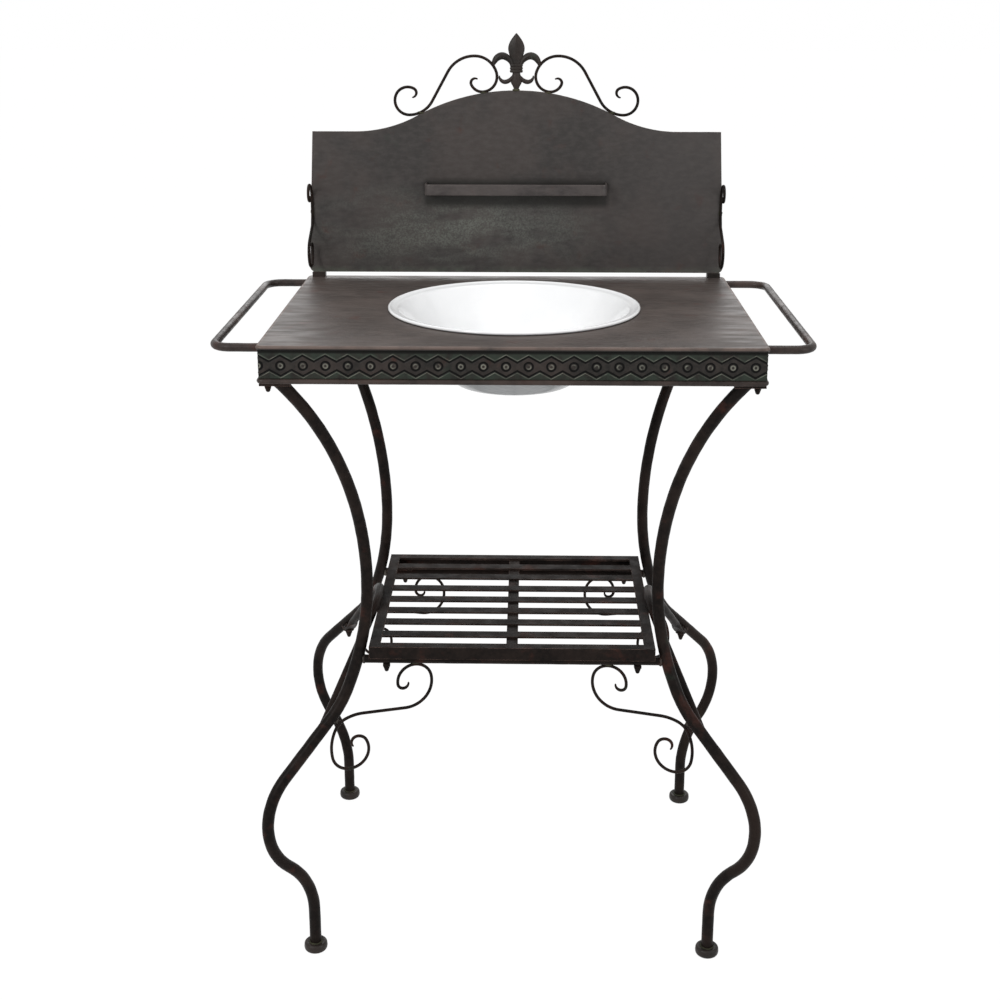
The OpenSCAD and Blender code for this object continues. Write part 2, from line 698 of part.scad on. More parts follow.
module enamel_basin() {
  flange_r = basin_rim_r - basin_bead_d / 2;
  color("#f4f4f2") translate([0, 0, basin_floor_z]) {
    rotate_extrude() polygon(concat([[0, 0]],
      [for (i = [0:basin_steps]) bowl_point(i / basin_steps, 0)],
      [[flange_r, basin_depth], [flange_r, basin_depth - basin_wall],
        [mouth_r + basin_wall, basin_depth - basin_wall]],
      [for (i = [basin_steps - 1:-1:0]) bowl_point(i / basin_steps, basin_wall)],
      [[0, -basin_wall]]));
    rotate_extrude() translate([flange_r, basin_depth]) circle(d = basin_bead_d);
  }
}

// ---- Splash plate ----
// Half width of the plate at height z
function splash_half(z) =
  splash_w / 2 - splash_taper * (z - splash_z - splash_corner_r) / (shoulder_z - splash_z - splash_corner_r);

// Half of the upper outline, from the crown to the shoulder
function crown_points(steps = 16) = concat(
  [for (i = [0:steps]) let (a = crown_turn * i / steps)
    [crown_r * sin(a), crown_z - crown_r * (1 - cos(a))]],
  [for (i = [1:steps]) let (a = crown_turn * (1 - i / steps))
    [crown_half - hollow_r * sin(a), shoulder_z + hollow_r * (1 - cos(a))]]);

module splash_plate() {
  half = splash_w / 2;
  c = splash_corner_r;
  points = concat(crown_points(), [[half - splash_taper, shoulder_z], [half, splash_z + c]],
    [for (a = [-10:-10:-80]) [half - c + c * cos(a), splash_z + c + c * sin(a)]],
    [[half - c, splash_z]]);
  outline = concat(points, [for (i = [len(points) - 1:-1:1]) [-points[i][0], points[i][1]]]);
  color("#3a3633") translate([0, splash_y + splash_t, 0]) rotate([90, 0, 0])
    linear_extrude(splash_t) polygon(outline);
}

module splash_pad(left) {
  color("#3a3633") mirror([left ? 1 : 0, 0, 0])
    translate([splash_w / 2 - splash_corner_r / 2 - pad_w, splash_mid_y - pad_d / 2, top_z])
      cube([pad_w, pad_d, splash_gap]);
}

// A flat bar bent round at both ends to reach the plate
module ledge_bar() {
  side = ledge_w / 2 - ledge_r;
  color("#38322f") translate([0, splash_y - ledge_out, top_z + ledge_rise]) linear_extrude(ledge_h) {
    translate([-side, 0]) square([2 * side, ledge_t]);
    for (s = [0, 1]) mirror([s, 0]) {
      translate([side, ledge_r]) intersection() {
        difference() {
          circle(r = ledge_r);
          circle(r = ledge_r - ledge_t);
        }
        translate([0, -ledge_r]) square(ledge_r);
      }
      translate([ledge_w / 2 - ledge_t, ledge_r]) square([ledge_t, ledge_out - ledge_r]);
    }
  }
}

// ---- Ornament ----
module side_scroll(left) {
  color("#2b2624") mirror([left ? 1 : 0, 0, 0])
    translate([side_scroll_x, splash_y, side_weld_z]) rotate([0, 0, -90]) {
      scroll_bar([scroll_d / 2 - weld, 0, 90], side_upper);
      scroll_bar([scroll_d / 2 - weld, 0, 270], side_lower);
    }
}

module crest_scroll(left) {
  color("#2b2624") mirror([left ? 0 : 1, 0, 0])
    translate([0, splash_mid_y, 0]) scroll_bar(crest_start, crest_path);
}

// The right half of the finial's outline above the crown
module fleur_half() {
  petal_base = band_z + 6;
  petal_half = 12.2;
  steps = 14;
  polygon(concat([[0, petal_base]],
    [for (i = [1:steps - 1]) let (t = i / steps)
      [petal_half * sin(180 * t), petal_base + (fleur_h - petal_base) * t]],
    [[0, fleur_h]]));
  // Band and tail
  translate([0, band_z]) square([band_half, band_h]);
  polygon([[0, -weld], [4, -weld], [8.5, 20], [6, band_z + 1], [0, band_z + 1]]);
  // Upper side petal, curled over a round opening
  difference() {
    translate([22, 42]) circle(r = 14.4);
    translate([18.8, 34.4]) circle(r = 9);
    translate([0, 20]) square([60, 12]);
  }
  // Lower hook
  difference() {
    translate([16.5, 19.5]) circle(r = 10);
    translate([19, 26.5]) circle(r = 8);
  }
}

module fleur_de_lis() {
  color("#2b2624") translate([0, splash_mid_y + fleur_t / 2, crown_z]) rotate([90, 0, 0]) {
    linear_extrude(fleur_t) {
      fleur_half();
      mirror([1, 0]) fleur_half();
    }
    // Three ribs round the band
    for (i = [0:2]) translate([-band_half - rib_out, band_z + 1 + i * rib_pitch, -rib_out])
      cube([2 * (band_half + rib_out), rib_h, fleur_t + 2 * rib_out]);
  }
}

tray_top();
frieze_long(false);  // frieze_front
frieze_long(true);  // frieze_back
frieze_side(true);  // frieze_left
frieze_side(false);  // frieze_right
bead_long(false);  // bead_front
bead_long(true);  // bead_back
bead_side(true);  // bead_left
bead_side(false);  // bead_right
leg(true, true);  // leg_front_left
leg(false, true);  // leg_front_right
leg(true, false);  // leg_rear_left
leg(false, false);  // leg_rear_right
foot(true, true);  // foot_front_left
foot(false, true);  // foot_front_right
foot(true, false);  // foot_rear_left
foot(false, false);  // foot_rear_right
leg_plate(true, true);  // leg_plate_front_left
leg_plate(false, true);  // leg_plate_front_right
leg_plate(true, false);  // leg_plate_rear_left
leg_plate(false, false);  // leg_plate_rear_right
corner_lug(true, true);  // corner_lug_front_left
corner_lug(false, true);  // corner_lug_front_right
corner_lug(true, false);  // corner_lug_rear_left
corner_lug(false, false);  // corner_lug_rear_right
top_bolts();
top_dome_nuts();
rail(true);  // rail_front
rail(false);  // rail_rear
shelf_frame();
shelf_slats();
shelf_strap();
shelf_bolts();
shelf_dome_nuts();
arch(true);  // arch_left
arch(false);  // arch_right
arch_tab(true);  // arch_tab_left
arch_tab(false);  // arch_tab_right
arch_bolts();
arch_dome_nuts();
bracket(true, true);  // bracket_front_left
bracket(false, true);  // bracket_front_right
bracket(true, false);  // bracket_rear_left
bracket(false, false);  // bracket_rear_right
handle(true);  // handle_left
handle(false);  // handle_right
enamel_basin();
splash_plate();
splash_pad(true);  // splash_pad_left
splash_pad(false);  // splash_pad_right
ledge_bar();
side_scroll(true);  // side_scroll_left
side_scroll(false);  // side_scroll_right
crest_scroll(true);  // crest_scroll_left
crest_scroll(false);  // crest_scroll_right
fleur_de_lis();
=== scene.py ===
# %% [markdown]
# # An iron wash stand with a lift-out enamel basin
# The stand is a blacksmith's piece: a sheet-iron top, four S-shaped legs, a slatted shelf, a tall
# splash plate and many thin scrolls, all rubbed dark with a little rust and green on them.
# A plain solid model of it is loaded first. Each later cell swaps some plain parts for detailed ones
# of the same size, or gives a plain part a better finish.

# %% Load the solid model
from math import asin, atan2, ceil, cos, degrees, hypot, pi, radians, sin, sqrt

import bpy
import bmesh
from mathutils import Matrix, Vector


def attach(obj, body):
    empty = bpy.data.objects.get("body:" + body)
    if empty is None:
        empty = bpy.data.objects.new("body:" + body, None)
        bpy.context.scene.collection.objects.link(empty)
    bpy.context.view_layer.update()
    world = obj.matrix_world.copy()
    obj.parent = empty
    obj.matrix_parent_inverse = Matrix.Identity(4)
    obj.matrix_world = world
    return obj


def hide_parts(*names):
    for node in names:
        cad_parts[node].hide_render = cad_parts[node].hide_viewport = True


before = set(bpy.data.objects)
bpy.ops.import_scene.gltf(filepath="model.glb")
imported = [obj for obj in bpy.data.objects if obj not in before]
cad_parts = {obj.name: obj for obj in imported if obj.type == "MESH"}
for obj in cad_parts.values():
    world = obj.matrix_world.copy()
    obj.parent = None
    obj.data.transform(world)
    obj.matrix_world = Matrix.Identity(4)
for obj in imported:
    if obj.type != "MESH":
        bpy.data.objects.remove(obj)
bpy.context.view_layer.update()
scene = bpy.context.scene
MM = 0.001
print("solid pieces:", len(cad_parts))

# %% [markdown]
# ## Helpers for node trees
# Materials and Geometry Nodes are both graphs of nodes. Typing them out one link at a time is long, so
# `add` makes a node and fills its inputs in one line: a number is stored in the socket, and an output of
# another node is linked to it. `out` finds the output in use, because some nodes keep hidden ones. The
# other helpers are short names for the nodes used most: sums, vectors, ramps, noise and mixed colours.

# %% Helpers for node trees
def out(made, name=None):
    return next(s for s in made.outputs if s.enabled and (name is None or s.name == name))


def add(tree, kind, inputs=None, **settings):
    made = tree.nodes.new(kind)
    for key, value in settings.items():
        setattr(made, key, value)
    for key, value in (inputs or {}).items():
        socket = made.inputs[key] if isinstance(key, int) else next(
            s for s in made.inputs if s.enabled and s.name == key)
        if isinstance(value, bpy.types.NodeSocket):
            tree.links.new(value, socket)
        else:
            socket.default_value = value
    return made


def maths(tree, operation, *values):
    return out(add(tree, "ShaderNodeMath", dict(enumerate(values)), operation=operation))


def times(tree, *values):
    return maths(tree, "MULTIPLY", *values)


def minus(tree, value, less):
    return maths(tree, "SUBTRACT", value, less)


def vector(tree, operation, *values):
    return out(add(tree, "ShaderNodeVectorMath", dict(enumerate(values)), operation=operation))


def ramp(tree, value, low, high, start=0.0, end=1.0, smooth=False):
    """Runs from start to end while the value runs from low to high."""
    return out(add(tree, "ShaderNodeMapRange", {
        "Value": value, "From Min": low, "From Max": high, "To Min": start, "To Max": end},
        interpolation_type="SMOOTHSTEP" if smooth else "LINEAR"))


def blend(tree, amount, under, over):
    return out(add(tree, "ShaderNodeMix", {"Factor": amount, "A": under, "B": over}, data_type="RGBA"))


def noise(tree, scale, detail, **inputs):
    return out(add(tree, "ShaderNodeTexNoise", {"Scale": scale, "Detail": detail, **inputs}), "Fac")


def split(tree, value):
    return add(tree, "ShaderNodeSeparateXYZ", {"Vector": value}).outputs


def coat(tree, mask, amount, under, over):
    """Lays a colour over another where the mask is, that strongly."""
    return blend(tree, times(tree, mask, amount), under, (*over, 1))


def triangles(obj):
    return sum(len(p.vertices) - 2 for p in obj.data.polygons)


def keep(bm, mesh):
    bm.to_mesh(mesh)
    bm.free()
    return mesh


def new_object(name, data):
    obj = bpy.data.objects.new(name, data)
    scene.collection.objects.link(obj)
    return obj


# %% [markdown]
# ## Dark iron
# All the iron has one finish in several shades: nearly black, with brown where hands have rubbed it, red
# rust in patches, green where damp has stood, and small dents from the hammer. One function mixes these
# from Noise textures, so each part only names its shades and amounts. Noise on Object coordinates needs no
# unwrapping and has no seams. `edge` brightens the sharp edges of flat parts: the Bevel node gives the
# normal that a rounded edge would have, and where it differs from the real one there is an edge.

# %% The iron finish
def new_material(name):
    material = bpy.data.materials.new(name)
    material.use_nodes = True
    tree = material.node_tree
    return material, tree, tree.nodes["Principled BSDF"], out(add(tree, "ShaderNodeTexCoord"), "Object")


def finish(tree, shader, colour, gloss, dents, depth, height):
    """Gives the shader its colour, gloss and dents."""
    bump = out(add(tree, "ShaderNodeBump", {"Strength": dents, "Distance": depth, "Height": height}))
    for name, value in (("Base Color", colour), ("Roughness", gloss), ("Normal", bump)):
        tree.links.new(value, shader.inputs[name])


def patches(tree, where, scale, low, high, detail=5.0, shift=0.0):
    """A mask from 0 to 1 in soft patches; a narrower low-high gap gives harder borders."""
    moved = vector(tree, "ADD", where, (shift, shift * 0.7, shift * 1.3))
    return ramp(tree, noise(tree, scale, detail, Vector=moved, Roughness=0.6), low, high, smooth=True)


RUST = (0.060, 0.022, 0.016)
DAMP = (0.032, 0.048, 0.035)
WORN_EDGE = (0.19, 0.12, 0.10)


def iron(name, dark, brown, rubbed=(0.026, 0.0185, 0.0155), rust=0.45, green=0.3, edge=0.0,
         rough=(0.36, 0.5), dents=0.12, dent_size=60.0, grit=0.2, metal=0.0, shine=0.06, brush=None,
         paint=None):
    """An iron material. brush stretches the grain along X; paint(tree, colour, where) may add more."""
    material, tree, shader, where = new_material(name)
    colour = blend(tree, patches(tree, where, 11, 0.42, 0.62), (*dark, 1), (*brown, 1))
    grain_at = where
    if brush:
        grain_at = out(add(tree, "ShaderNodeMapping", {"Vector": where, "Scale": brush}))
    grain = patches(tree, grain_at, 150, 0.3, 0.75, 3.0, 2.0)
    colour = coat(tree, grain, 0.35, colour, rubbed)
    spots = patches(tree, where, 26, 0.66 - 0.2 * rust, 0.78 - 0.1 * rust, 7.0, 5.0)
    colour = coat(tree, spots, 0.55, colour, RUST)
    if green:
        damp = patches(tree, where, 19, 0.7 - 0.22 * green, 0.85 - 0.2 * green, 8.0, 9.0)
        colour = coat(tree, damp, 0.5, colour, DAMP)
    if paint:
        colour = paint(tree, colour, where)
    if edge:
        round_normal = out(add(tree, "ShaderNodeBevel", {"Radius": 0.0011}, samples=4))
        flat_normal = out(add(tree, "ShaderNodeNewGeometry"), "Normal")
        worn = ramp(tree, vector(tree, "DOT_PRODUCT", round_normal, flat_normal), 0.985, 0.86)
        worn = times(tree, worn, patches(tree, where, 40, 0.35, 0.6, 4.0, 3.0))
        colour = coat(tree, worn, edge, colour, WORN_EDGE)
    shader.inputs["Metallic"].default_value = metal
    shader.inputs["Specular IOR Level"].default_value = shine
    gloss = ramp(tree, patches(tree, grain_at, 45, 0.3, 0.7, 4.0, 7.0), 0.0, 1.0, *rough)
    height = maths(tree, "ADD", noise(tree, dent_size, 2.0, Vector=where), times(tree, grain, grit))
    finish(tree, shader, colour, gloss, dents, 0.0012, height)
    return material


BAR_IRON = iron("Rubbed bar iron", (0.0055, 0.0043, 0.0039), (0.0175, 0.0118, 0.0098),
                rust=0.5, green=0.25, dents=0.06, grit=0.05)
FLAT_IRON = iron("Flat bar iron", (0.008, 0.0065, 0.006), (0.018, 0.0128, 0.011),
                 rust=0.5, green=0.2, edge=0.8, rough=(0.5, 0.68), grit=0.1, shine=0.05)
SCROLL_IRON = iron("Thin scroll iron", (0.0055, 0.0043, 0.0039), (0.0175, 0.0115, 0.0092),
                   rust=0.6, green=0.35, dents=0.04, grit=0.04)
RUBBED_IRON = iron("Hand-rubbed iron", (0.017, 0.0125, 0.011), (0.050, 0.035, 0.030),
                   rubbed=(0.062, 0.044, 0.038), rust=0.55, green=0.15, rough=(0.34, 0.5), dents=0.06,
                   grit=0.06, shine=0.2)
print("materials so far:", len(bpy.data.materials))

# %% [markdown]
# ## Sheet iron
# The top and the splash plate are rolled sheet. The top is waxed and wiped from side to side, so its grain
# is stretched along X. Its rolled rim is rubbed to a paler red-brown, with a painted shadow as a dark line
# under it. The splash plate is darker. It has a painted shadow right under the ledge bar, a cloudy greenish
# patch below that, a paler right side and green along its lower edge. All of these depend on the place on
# the object, so they are painted from the Object coordinates, in metres.

# %% The sheet finishes
TOP_HALF = (0.325, 0.24)
RIM_WIDTH = 0.0045
CLOUD_AT = (-0.09, 0.2335, 0.975)


def paint_rim(tree, colour, where):
    place = split(tree, where)
    near_x, near_y = (maths(tree, "GREATER_THAN", maths(tree, "ABSOLUTE", place[axis]), half - RIM_WIDTH)
                      for axis, half in zip("XY", TOP_HALF))
    rim = maths(tree, "MAXIMUM", near_x, near_y)
    worn = times(tree, rim, patches(tree, where, 30, 0.25, 0.6, 4.0, 1.0))
    colour = coat(tree, rim, 0.45, colour, (0.022, 0.0155, 0.0135))
    colour = coat(tree, worn, 0.8, colour, (0.125, 0.088, 0.074))
    # Painted shadow: a near-black line along the underside of the rolled rim.
    under = ramp(tree, place["Z"], 0.8972, 0.8960)
    return coat(tree, under, 0.9, colour, (0.004, 0.0035, 0.003))


def paint_cloud(tree, colour, where):
    place = split(tree, where)
    off = vector(tree, "MULTIPLY", vector(tree, "SUBTRACT", where, CLOUD_AT), (4.2, 0.0, 14.0))
    cloud = ramp(tree, vector(tree, "LENGTH", off), 1.15, 0.2)
    streaks = out(add(tree, "ShaderNodeMapping", {"Vector": where, "Scale": (0.45, 1.0, 1.6)}))
    cloud = times(tree, cloud, patches(tree, streaks, 22, 0.34, 0.60, 6.0, 4.0))
    specks = patches(tree, where, 420, 0.38, 0.62, 2.0, 6.0)
    cloud = times(tree, cloud, maths(tree, "ADD", times(tree, specks, 0.7), 0.3))
    colour = coat(tree, cloud, 0.85, colour, (0.118, 0.124, 0.108))
    low = ramp(tree, place["Z"], 0.918, 0.908)
    low = times(tree, low, patches(tree, where, 30, 0.35, 0.6, 5.0, 6.0))
    colour = coat(tree, low, 0.6, colour, (0.10, 0.115, 0.09))
    right = ramp(tree, place["X"], 0.10, 0.24)
    colour = coat(tree, right, 0.32, colour, (0.082, 0.073, 0.070))
    # Painted shadow: a dark band on the plate right under the ledge bar.
    ledge_shadow = ramp(tree, maths(tree, "ABSOLUTE", place["X"]), 0.145, 0.137)
    for clear, full in ((1.005, 1.014), (1.055, 1.045)):
        ledge_shadow = times(tree, ledge_shadow, ramp(tree, place["Z"], clear, full))
    return coat(tree, ledge_shadow, 0.8, colour, (0.008, 0.0075, 0.006))


TOP_SHEET = iron("Waxed top sheet", (0.040, 0.031, 0.027), (0.062, 0.048, 0.042),
                 rubbed=(0.11, 0.09, 0.08), rust=0.35, green=0, rough=(0.42, 0.6), dents=0.08,
                 dent_size=25.0, metal=0.1, shine=0.35, brush=(0.3, 1.3, 1.3), paint=paint_rim)
SPLASH_SHEET = iron("Dark splash sheet", (0.034, 0.0305, 0.029), (0.048, 0.040, 0.037),
                    rubbed=(0.08, 0.071, 0.067), rust=0.4, green=0.25, edge=0.8, rough=(0.42, 0.62),
                    dents=0.10, dent_size=16.0, metal=0.1, shine=0.28, brush=(0.5, 1.0, 1.0),
                    paint=paint_cloud)
LEDGE_IRON = iron("Pale ledge iron", (0.033, 0.028, 0.027), (0.058, 0.049, 0.046),
                  rubbed=(0.11, 0.095, 0.091), rust=0.4, edge=0.6, rough=(0.4, 0.55), shine=0.3,
                  brush=(0.4, 1.0, 1.0))
print("materials so far:", len(bpy.data.materials))

# %% [markdown]
# ## Casting, embossed strip, welds and enamel
# The feet and the finial are cast, so they are rougher and greener. The frieze strip is embossed: its
# grooves are painted near-black as shade, its ground is green outside the hexagons and its ridges are
# rubbed pale. It reads two attributes that its mesh carries, because the pattern follows the strip. Welds
# are left pale or green, and lumpy. The basin's enamel is glass melted onto steel: white, smooth and
# glossy, with a faint orange-peel in the gloss, and its faces that look down are painted grey as shade.

# %% The other finishes
CAST_IRON = iron("Cast iron", (0.012, 0.0105, 0.009), (0.030, 0.022, 0.019), rust=0.5, green=0.6,
                 rough=(0.35, 0.55), dents=0.3, dent_size=160.0, shine=0.2)


def paint_pattern(tree, colour, where):
    height, outside = (out(add(tree, "ShaderNodeAttribute", attribute_name=name), "Fac")
                       for name in ("height", "outside"))
    damp = times(tree, outside, patches(tree, where, 55, 0.3, 0.6, 6.0, 3.0))
    colour = coat(tree, damp, 0.85, colour, (0.042, 0.056, 0.043))
    # Painted shade: the low parts of the relief, the grooves most, are painted near-black.
    colour = coat(tree, ramp(tree, height, 0.35, 0.05), 1.0, colour, (0.0015, 0.0014, 0.0012))
    ridge = times(tree, ramp(tree, height, 0.65, 0.95), patches(tree, where, 75, 0.35, 0.6, 5.0, 8.0))
    colour = coat(tree, ridge, 0.8, colour, (0.20, 0.20, 0.165))
    place = split(tree, where)
    shaded = ramp(tree, place["Z"], 0.8895, 0.8915)
    return coat(tree, shaded, 0.9, colour, (0.003, 0.0026, 0.0023))


FRIEZE_IRON = iron("Embossed strip", (0.017, 0.0162, 0.015), (0.034, 0.027, 0.0245),
                   rubbed=(0.06, 0.05, 0.044), rust=0.4, green=0.5, rough=(0.45, 0.6), dent_size=90.0,
                   shine=0.1, paint=paint_pattern)
WELD_IRON = iron("Bright weld", (0.045, 0.04, 0.036), (0.09, 0.08, 0.07), rust=0.6, rough=(0.35, 0.5),
                 dents=0.5, dent_size=260.0)
GREEN_WELD = iron("Green weld", (0.03, 0.034, 0.021), (0.065, 0.062, 0.038), rust=0.4, green=0.9,
                  rough=(0.4, 0.6), dents=0.5, dent_size=260.0)


def enamel():
    material, tree, shader, where = new_material("White enamel")
    tone = blend(tree, patches(tree, where, 7, 0.35, 0.65), (0.82, 0.825, 0.83, 1), (0.88, 0.885, 0.89, 1))
    normal = out(add(tree, "ShaderNodeNewGeometry"), "Normal")
    # Painted shade: faces that look down are turned grey.
    underside_shade = ramp(tree, split(tree, normal)["Z"], -0.15, -0.5)
    tone = blend(tree, underside_shade, tone, (0.40, 0.41, 0.415, 1))
    gloss = ramp(tree, patches(tree, where, 30, 0.3, 0.7, 3.0, 2.0), 0.0, 1.0, 0.09, 0.17)
    finish(tree, shader, tone, gloss, 0.03, 0.001, noise(tree, 90.0, 2.0, Vector=where))
    return material


ENAMEL = enamel()
print("materials so far:", len(bpy.data.materials))

# %% [markdown]
# ## The shape of bent bars
# A smith bends a bar round a form, so each bar is a chain of arcs and straights that flow into each other.
# A segment is (radius, turn) for an arc, with left turns positive, or (0, length) for a straight. A place
# is (x, y, heading). Such a chain gives the smooth curves of wrought iron with very few numbers, while a
# hand-placed curve would wobble. All sizes here are in millimetres.

# %% Chains of arcs
def along(place, segment, part):
    x, y, heading = place
    size, amount = segment
    h = radians(heading)
    if size == 0:
        return x + part * amount * cos(h), y + part * amount * sin(h), heading
    q = size if amount > 0 else -size
    g = radians(heading + part * amount)
    return x + q * (sin(g) - sin(h)), y - q * (cos(g) - cos(h)), heading + part * amount


def walk(place, chain, gap=2.5):
    """Places along a chain, about gap apart and never more than 7 degrees of bend apart."""
    places = [place]
    for size, amount in chain:
        length = abs(amount) if size == 0 else size * radians(abs(amount))
        count = max(1, ceil(length / gap), ceil(abs(amount) / 7) if size else 1)
        start = places[-1]
        places += [along(start, (size, amount), k / count) for k in range(1, count + 1)]
    return places


def stroke(points, radius, tips=(0, 0), tip_radius=1.1):
    """Points with a radius each. A tip is drawn out thin over that many millimetres, as a scroll's end is."""
    points = [Vector(p) for p in points]
    run = [0.0]
    for a, b in zip(points, points[1:]):
        run.append(run[-1] + (b - a).length)
    result = []
    for p, s in zip(points, run):
        r = radius
        for length, away in zip(tips, (s, run[-1] - s)):
            if length and away < length:
                f = away / length
                r = min(r, tip_radius + (radius - tip_radius) * f * (2 - f))
            if length and away < 0.1:
                r = tip_radius * 0.4
        result.append((p, r))
    return result


# The leg's radius, the heights of its ends, and the radius of its last bend.
LEG_R, LEG_LOW, LEG_HIGH, CROWN_R = 8.5, 7, 847, 441
LEG_TOP = (297, 222)
LEG = [(0, 57), (115, -47), (95, 94), (0, 101), (126, -20), (338, -27)]
waist = walk((0, LEG_LOW, 90), LEG)[-1]
upper_turn = degrees(asin((LEG_HIGH - waist[1]) / CROWN_R))
leg_az = atan2(LEG_TOP[1], LEG_TOP[0])
leg_x, leg_y = cos(leg_az), sin(leg_az)
foot_out = hypot(*LEG_TOP) - waist[0] - CROWN_R * (1 - cos(radians(upper_turn)))
leg_places = walk((foot_out, LEG_LOW, 90), LEG + [(CROWN_R, -upper_turn - 2)])
print("foot %.1f mm out, waist at %.1f mm" % (foot_out, waist[1]))

# %% [markdown]
# ## Forging the bars with Geometry Nodes
# Every bar is the same rule: a round section follows a path, with light hammer marks. One node tree does
# this for any path. The path comes in as a mesh of edges whose points carry their radius in an attribute,
# so a tip can be drawn thin. The tree ends in Set Material and Realize Instances, and its result is kept
# as a plain mesh.

# %% The bar tree
def new_tree(name, numbers, *objects):
    """A tree that takes a mesh, numbers with their defaults, objects and a material."""
    tree = bpy.data.node_groups.new(name, "GeometryNodeTree")
    sockets = [("Geometry", "Geometry")]
    sockets += [(label, "Int" if isinstance(value, int) else "Float") for label, value in numbers.items()]
    sockets += [(label, "Object") for label in objects] + [("Material", "Material")]
    for label, kind in sockets:
        socket = tree.interface.new_socket(label, in_out="INPUT", socket_type="NodeSocket" + kind)
        if label in numbers:
            socket.default_value = numbers[label]
    tree.interface.new_socket("Geometry", in_out="OUTPUT", socket_type="NodeSocketGeometry")
    return tree, tree.nodes.new("NodeGroupInput").outputs


def end_tree(tree, size, geometry):
    finished = out(add(tree, "GeometryNodeSetMaterial", {"Geometry": geometry, "Material": size["Material"]}))
    plain = out(add(tree, "GeometryNodeRealizeInstances", {"Geometry": finished}))
    add(tree, "NodeGroupOutput", {"Geometry": plain})


def carried(tree, name, kind="FLOAT"):
    """A value that the points carry."""
    return out(add(tree, "GeometryNodeInputNamedAttribute", {"Name": name}, data_type=kind), "Attribute")


def axes(tree, **values):
    return out(add(tree, "ShaderNodeCombineXYZ", values))


def copies(tree, points, piece, **inputs):
    return out(add(tree, "GeometryNodeInstanceOnPoints", {"Points": points, "Instance": piece, **inputs}))


def push_out(tree, geometry, amount):
    """Moves points along the normal."""
    normal = out(add(tree, "GeometryNodeInputNormal"), "Normal")
    offset = out(add(tree, "ShaderNodeVectorMath", {0: normal, "Scale": amount}, operation="SCALE"), "Vector")
    moved = out(add(tree, "GeometryNodeSetPosition", {"Geometry": geometry, "Offset": offset}))
    return out(add(tree, "GeometryNodeSetShadeSmooth", {"Geometry": moved}))


def grow(name, start, tree, inputs):
    """Runs a tree on a start mesh and keeps the result as a plain mesh object."""
    obj = new_object(name, start)
    modifier = obj.modifiers.new("Make", "NODES")
    modifier.node_group = tree
    for item in tree.interface.items_tree:
        if item.in_out == "INPUT" and item.name in inputs:
            modifier[item.identifier] = inputs[item.name]
    depsgraph = bpy.context.evaluated_depsgraph_get()
    mesh = bpy.data.meshes.new_from_object(obj.evaluated_get(depsgraph), depsgraph=depsgraph)
    obj.modifiers.remove(modifier)
    obj.data = mesh
    mesh.name = name
    return obj


bar_tree, size = new_tree("Forged bar", {"Sides": 20, "Hammer marks": 0.0003, "Mark size": 0.014})
T = bar_tree
path = out(add(T, "GeometryNodeMeshToCurve", {"Mesh": size["Geometry"]}))
section = out(add(T, "GeometryNodeCurvePrimitiveCircle", {"Resolution": size["Sides"], "Radius": 1.0}))
swept = out(add(T, "GeometryNodeCurveToMesh", {
    "Curve": path, "Profile Curve": section, "Scale": carried(T, "thickness"), "Fill Caps": True}))
per_mark = maths(T, "DIVIDE", 1.0, size["Mark size"])
marks = noise(T, per_mark, 1.0)
depth = times(T, minus(T, marks, 0.8), size["Hammer marks"])
end_tree(T, size, push_out(T, swept, depth))


def tidy_mesh(obj, cut_above=None):
    """Closes a cut at a height, merges doubles and points the faces outwards."""
    bm = bmesh.new()
    bm.from_mesh(obj.data)
    if cut_above is not None:
        everything = bm.verts[:] + bm.edges[:] + bm.faces[:]
        bmesh.ops.bisect_plane(bm, geom=everything, plane_co=(0, 0, cut_above),
                               plane_no=(0, 0, 1), clear_outer=True)
        bmesh.ops.holes_fill(bm, edges=[e for e in bm.edges if e.is_boundary])
    bmesh.ops.remove_doubles(bm, verts=bm.verts, dist=1e-6)
    bmesh.ops.recalc_face_normals(bm, faces=bm.faces)
    for face in bm.faces:
        if len(face.verts) > 4:
            face.smooth = False
            for edge in face.edges:
                edge.smooth = False
    keep(bm, obj.data)
    return obj


def forge(name, strokes, material, nodes, sides=20, marks=0.5, slot="iron_bar", closed=False,
          cut_above=None):
    """Bars along strokes, as one piece that takes the place of solid nodes."""
    mesh = bpy.data.meshes.new(name)
    points, edges, radii = [], [], []
    for line in strokes:
        first = len(points)
        points += [p * MM for p, r in line]
        radii += [r * MM for p, r in line]
        edges += [(i, i + 1) for i in range(first, len(points) - 1)]
        if closed:
            edges.append((len(points) - 1, first))
    mesh.from_pydata(points, edges, [])
    mesh.attributes.new("thickness", "FLOAT", "POINT").data.foreach_set("value", radii)
    obj = grow(name, mesh, bar_tree, {
        "Sides": sides, "Hammer marks": marks * MM, "Material": material})
    return settle(tidy_mesh(obj, cut_above), slot, *nodes)


def settle(obj, slot, *nodes, body="stand"):
    """The piece moves with its body and takes the place of its solid nodes; slot is not used."""
    obj.name = obj.name.replace(" ", "_")
    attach(obj, body)
    if nodes:
        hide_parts(*nodes)
    return obj


print("bar tree nodes:", len(bar_tree.nodes))

# %% [markdown]
# ## Legs
# A leg rises straight from its foot, bows out to the knee, runs in to the narrow waist at the shelf and
# flares out again to the corner of the top. It lies in one upright plane through the middle of the stand.
# The bar is made a little too long and cut level where its plate is.

# %% The legs
SIDES = [("left", -1), ("right", 1)]
CORNERS = [("front_left", -1, -1), ("front_right", 1, -1), ("rear_left", -1, 1), ("rear_right", 1, 1)]


def leg_point(height):
    """A leg's axis at a height, on the rear right leg."""
    for a, b in zip(leg_places, leg_places[1:]):
        if a[1] <= height <= b[1]:
            r = a[0] + (b[0] - a[0]) * (height - a[1]) / (b[1] - a[1])
            return r * leg_x, r * leg_y


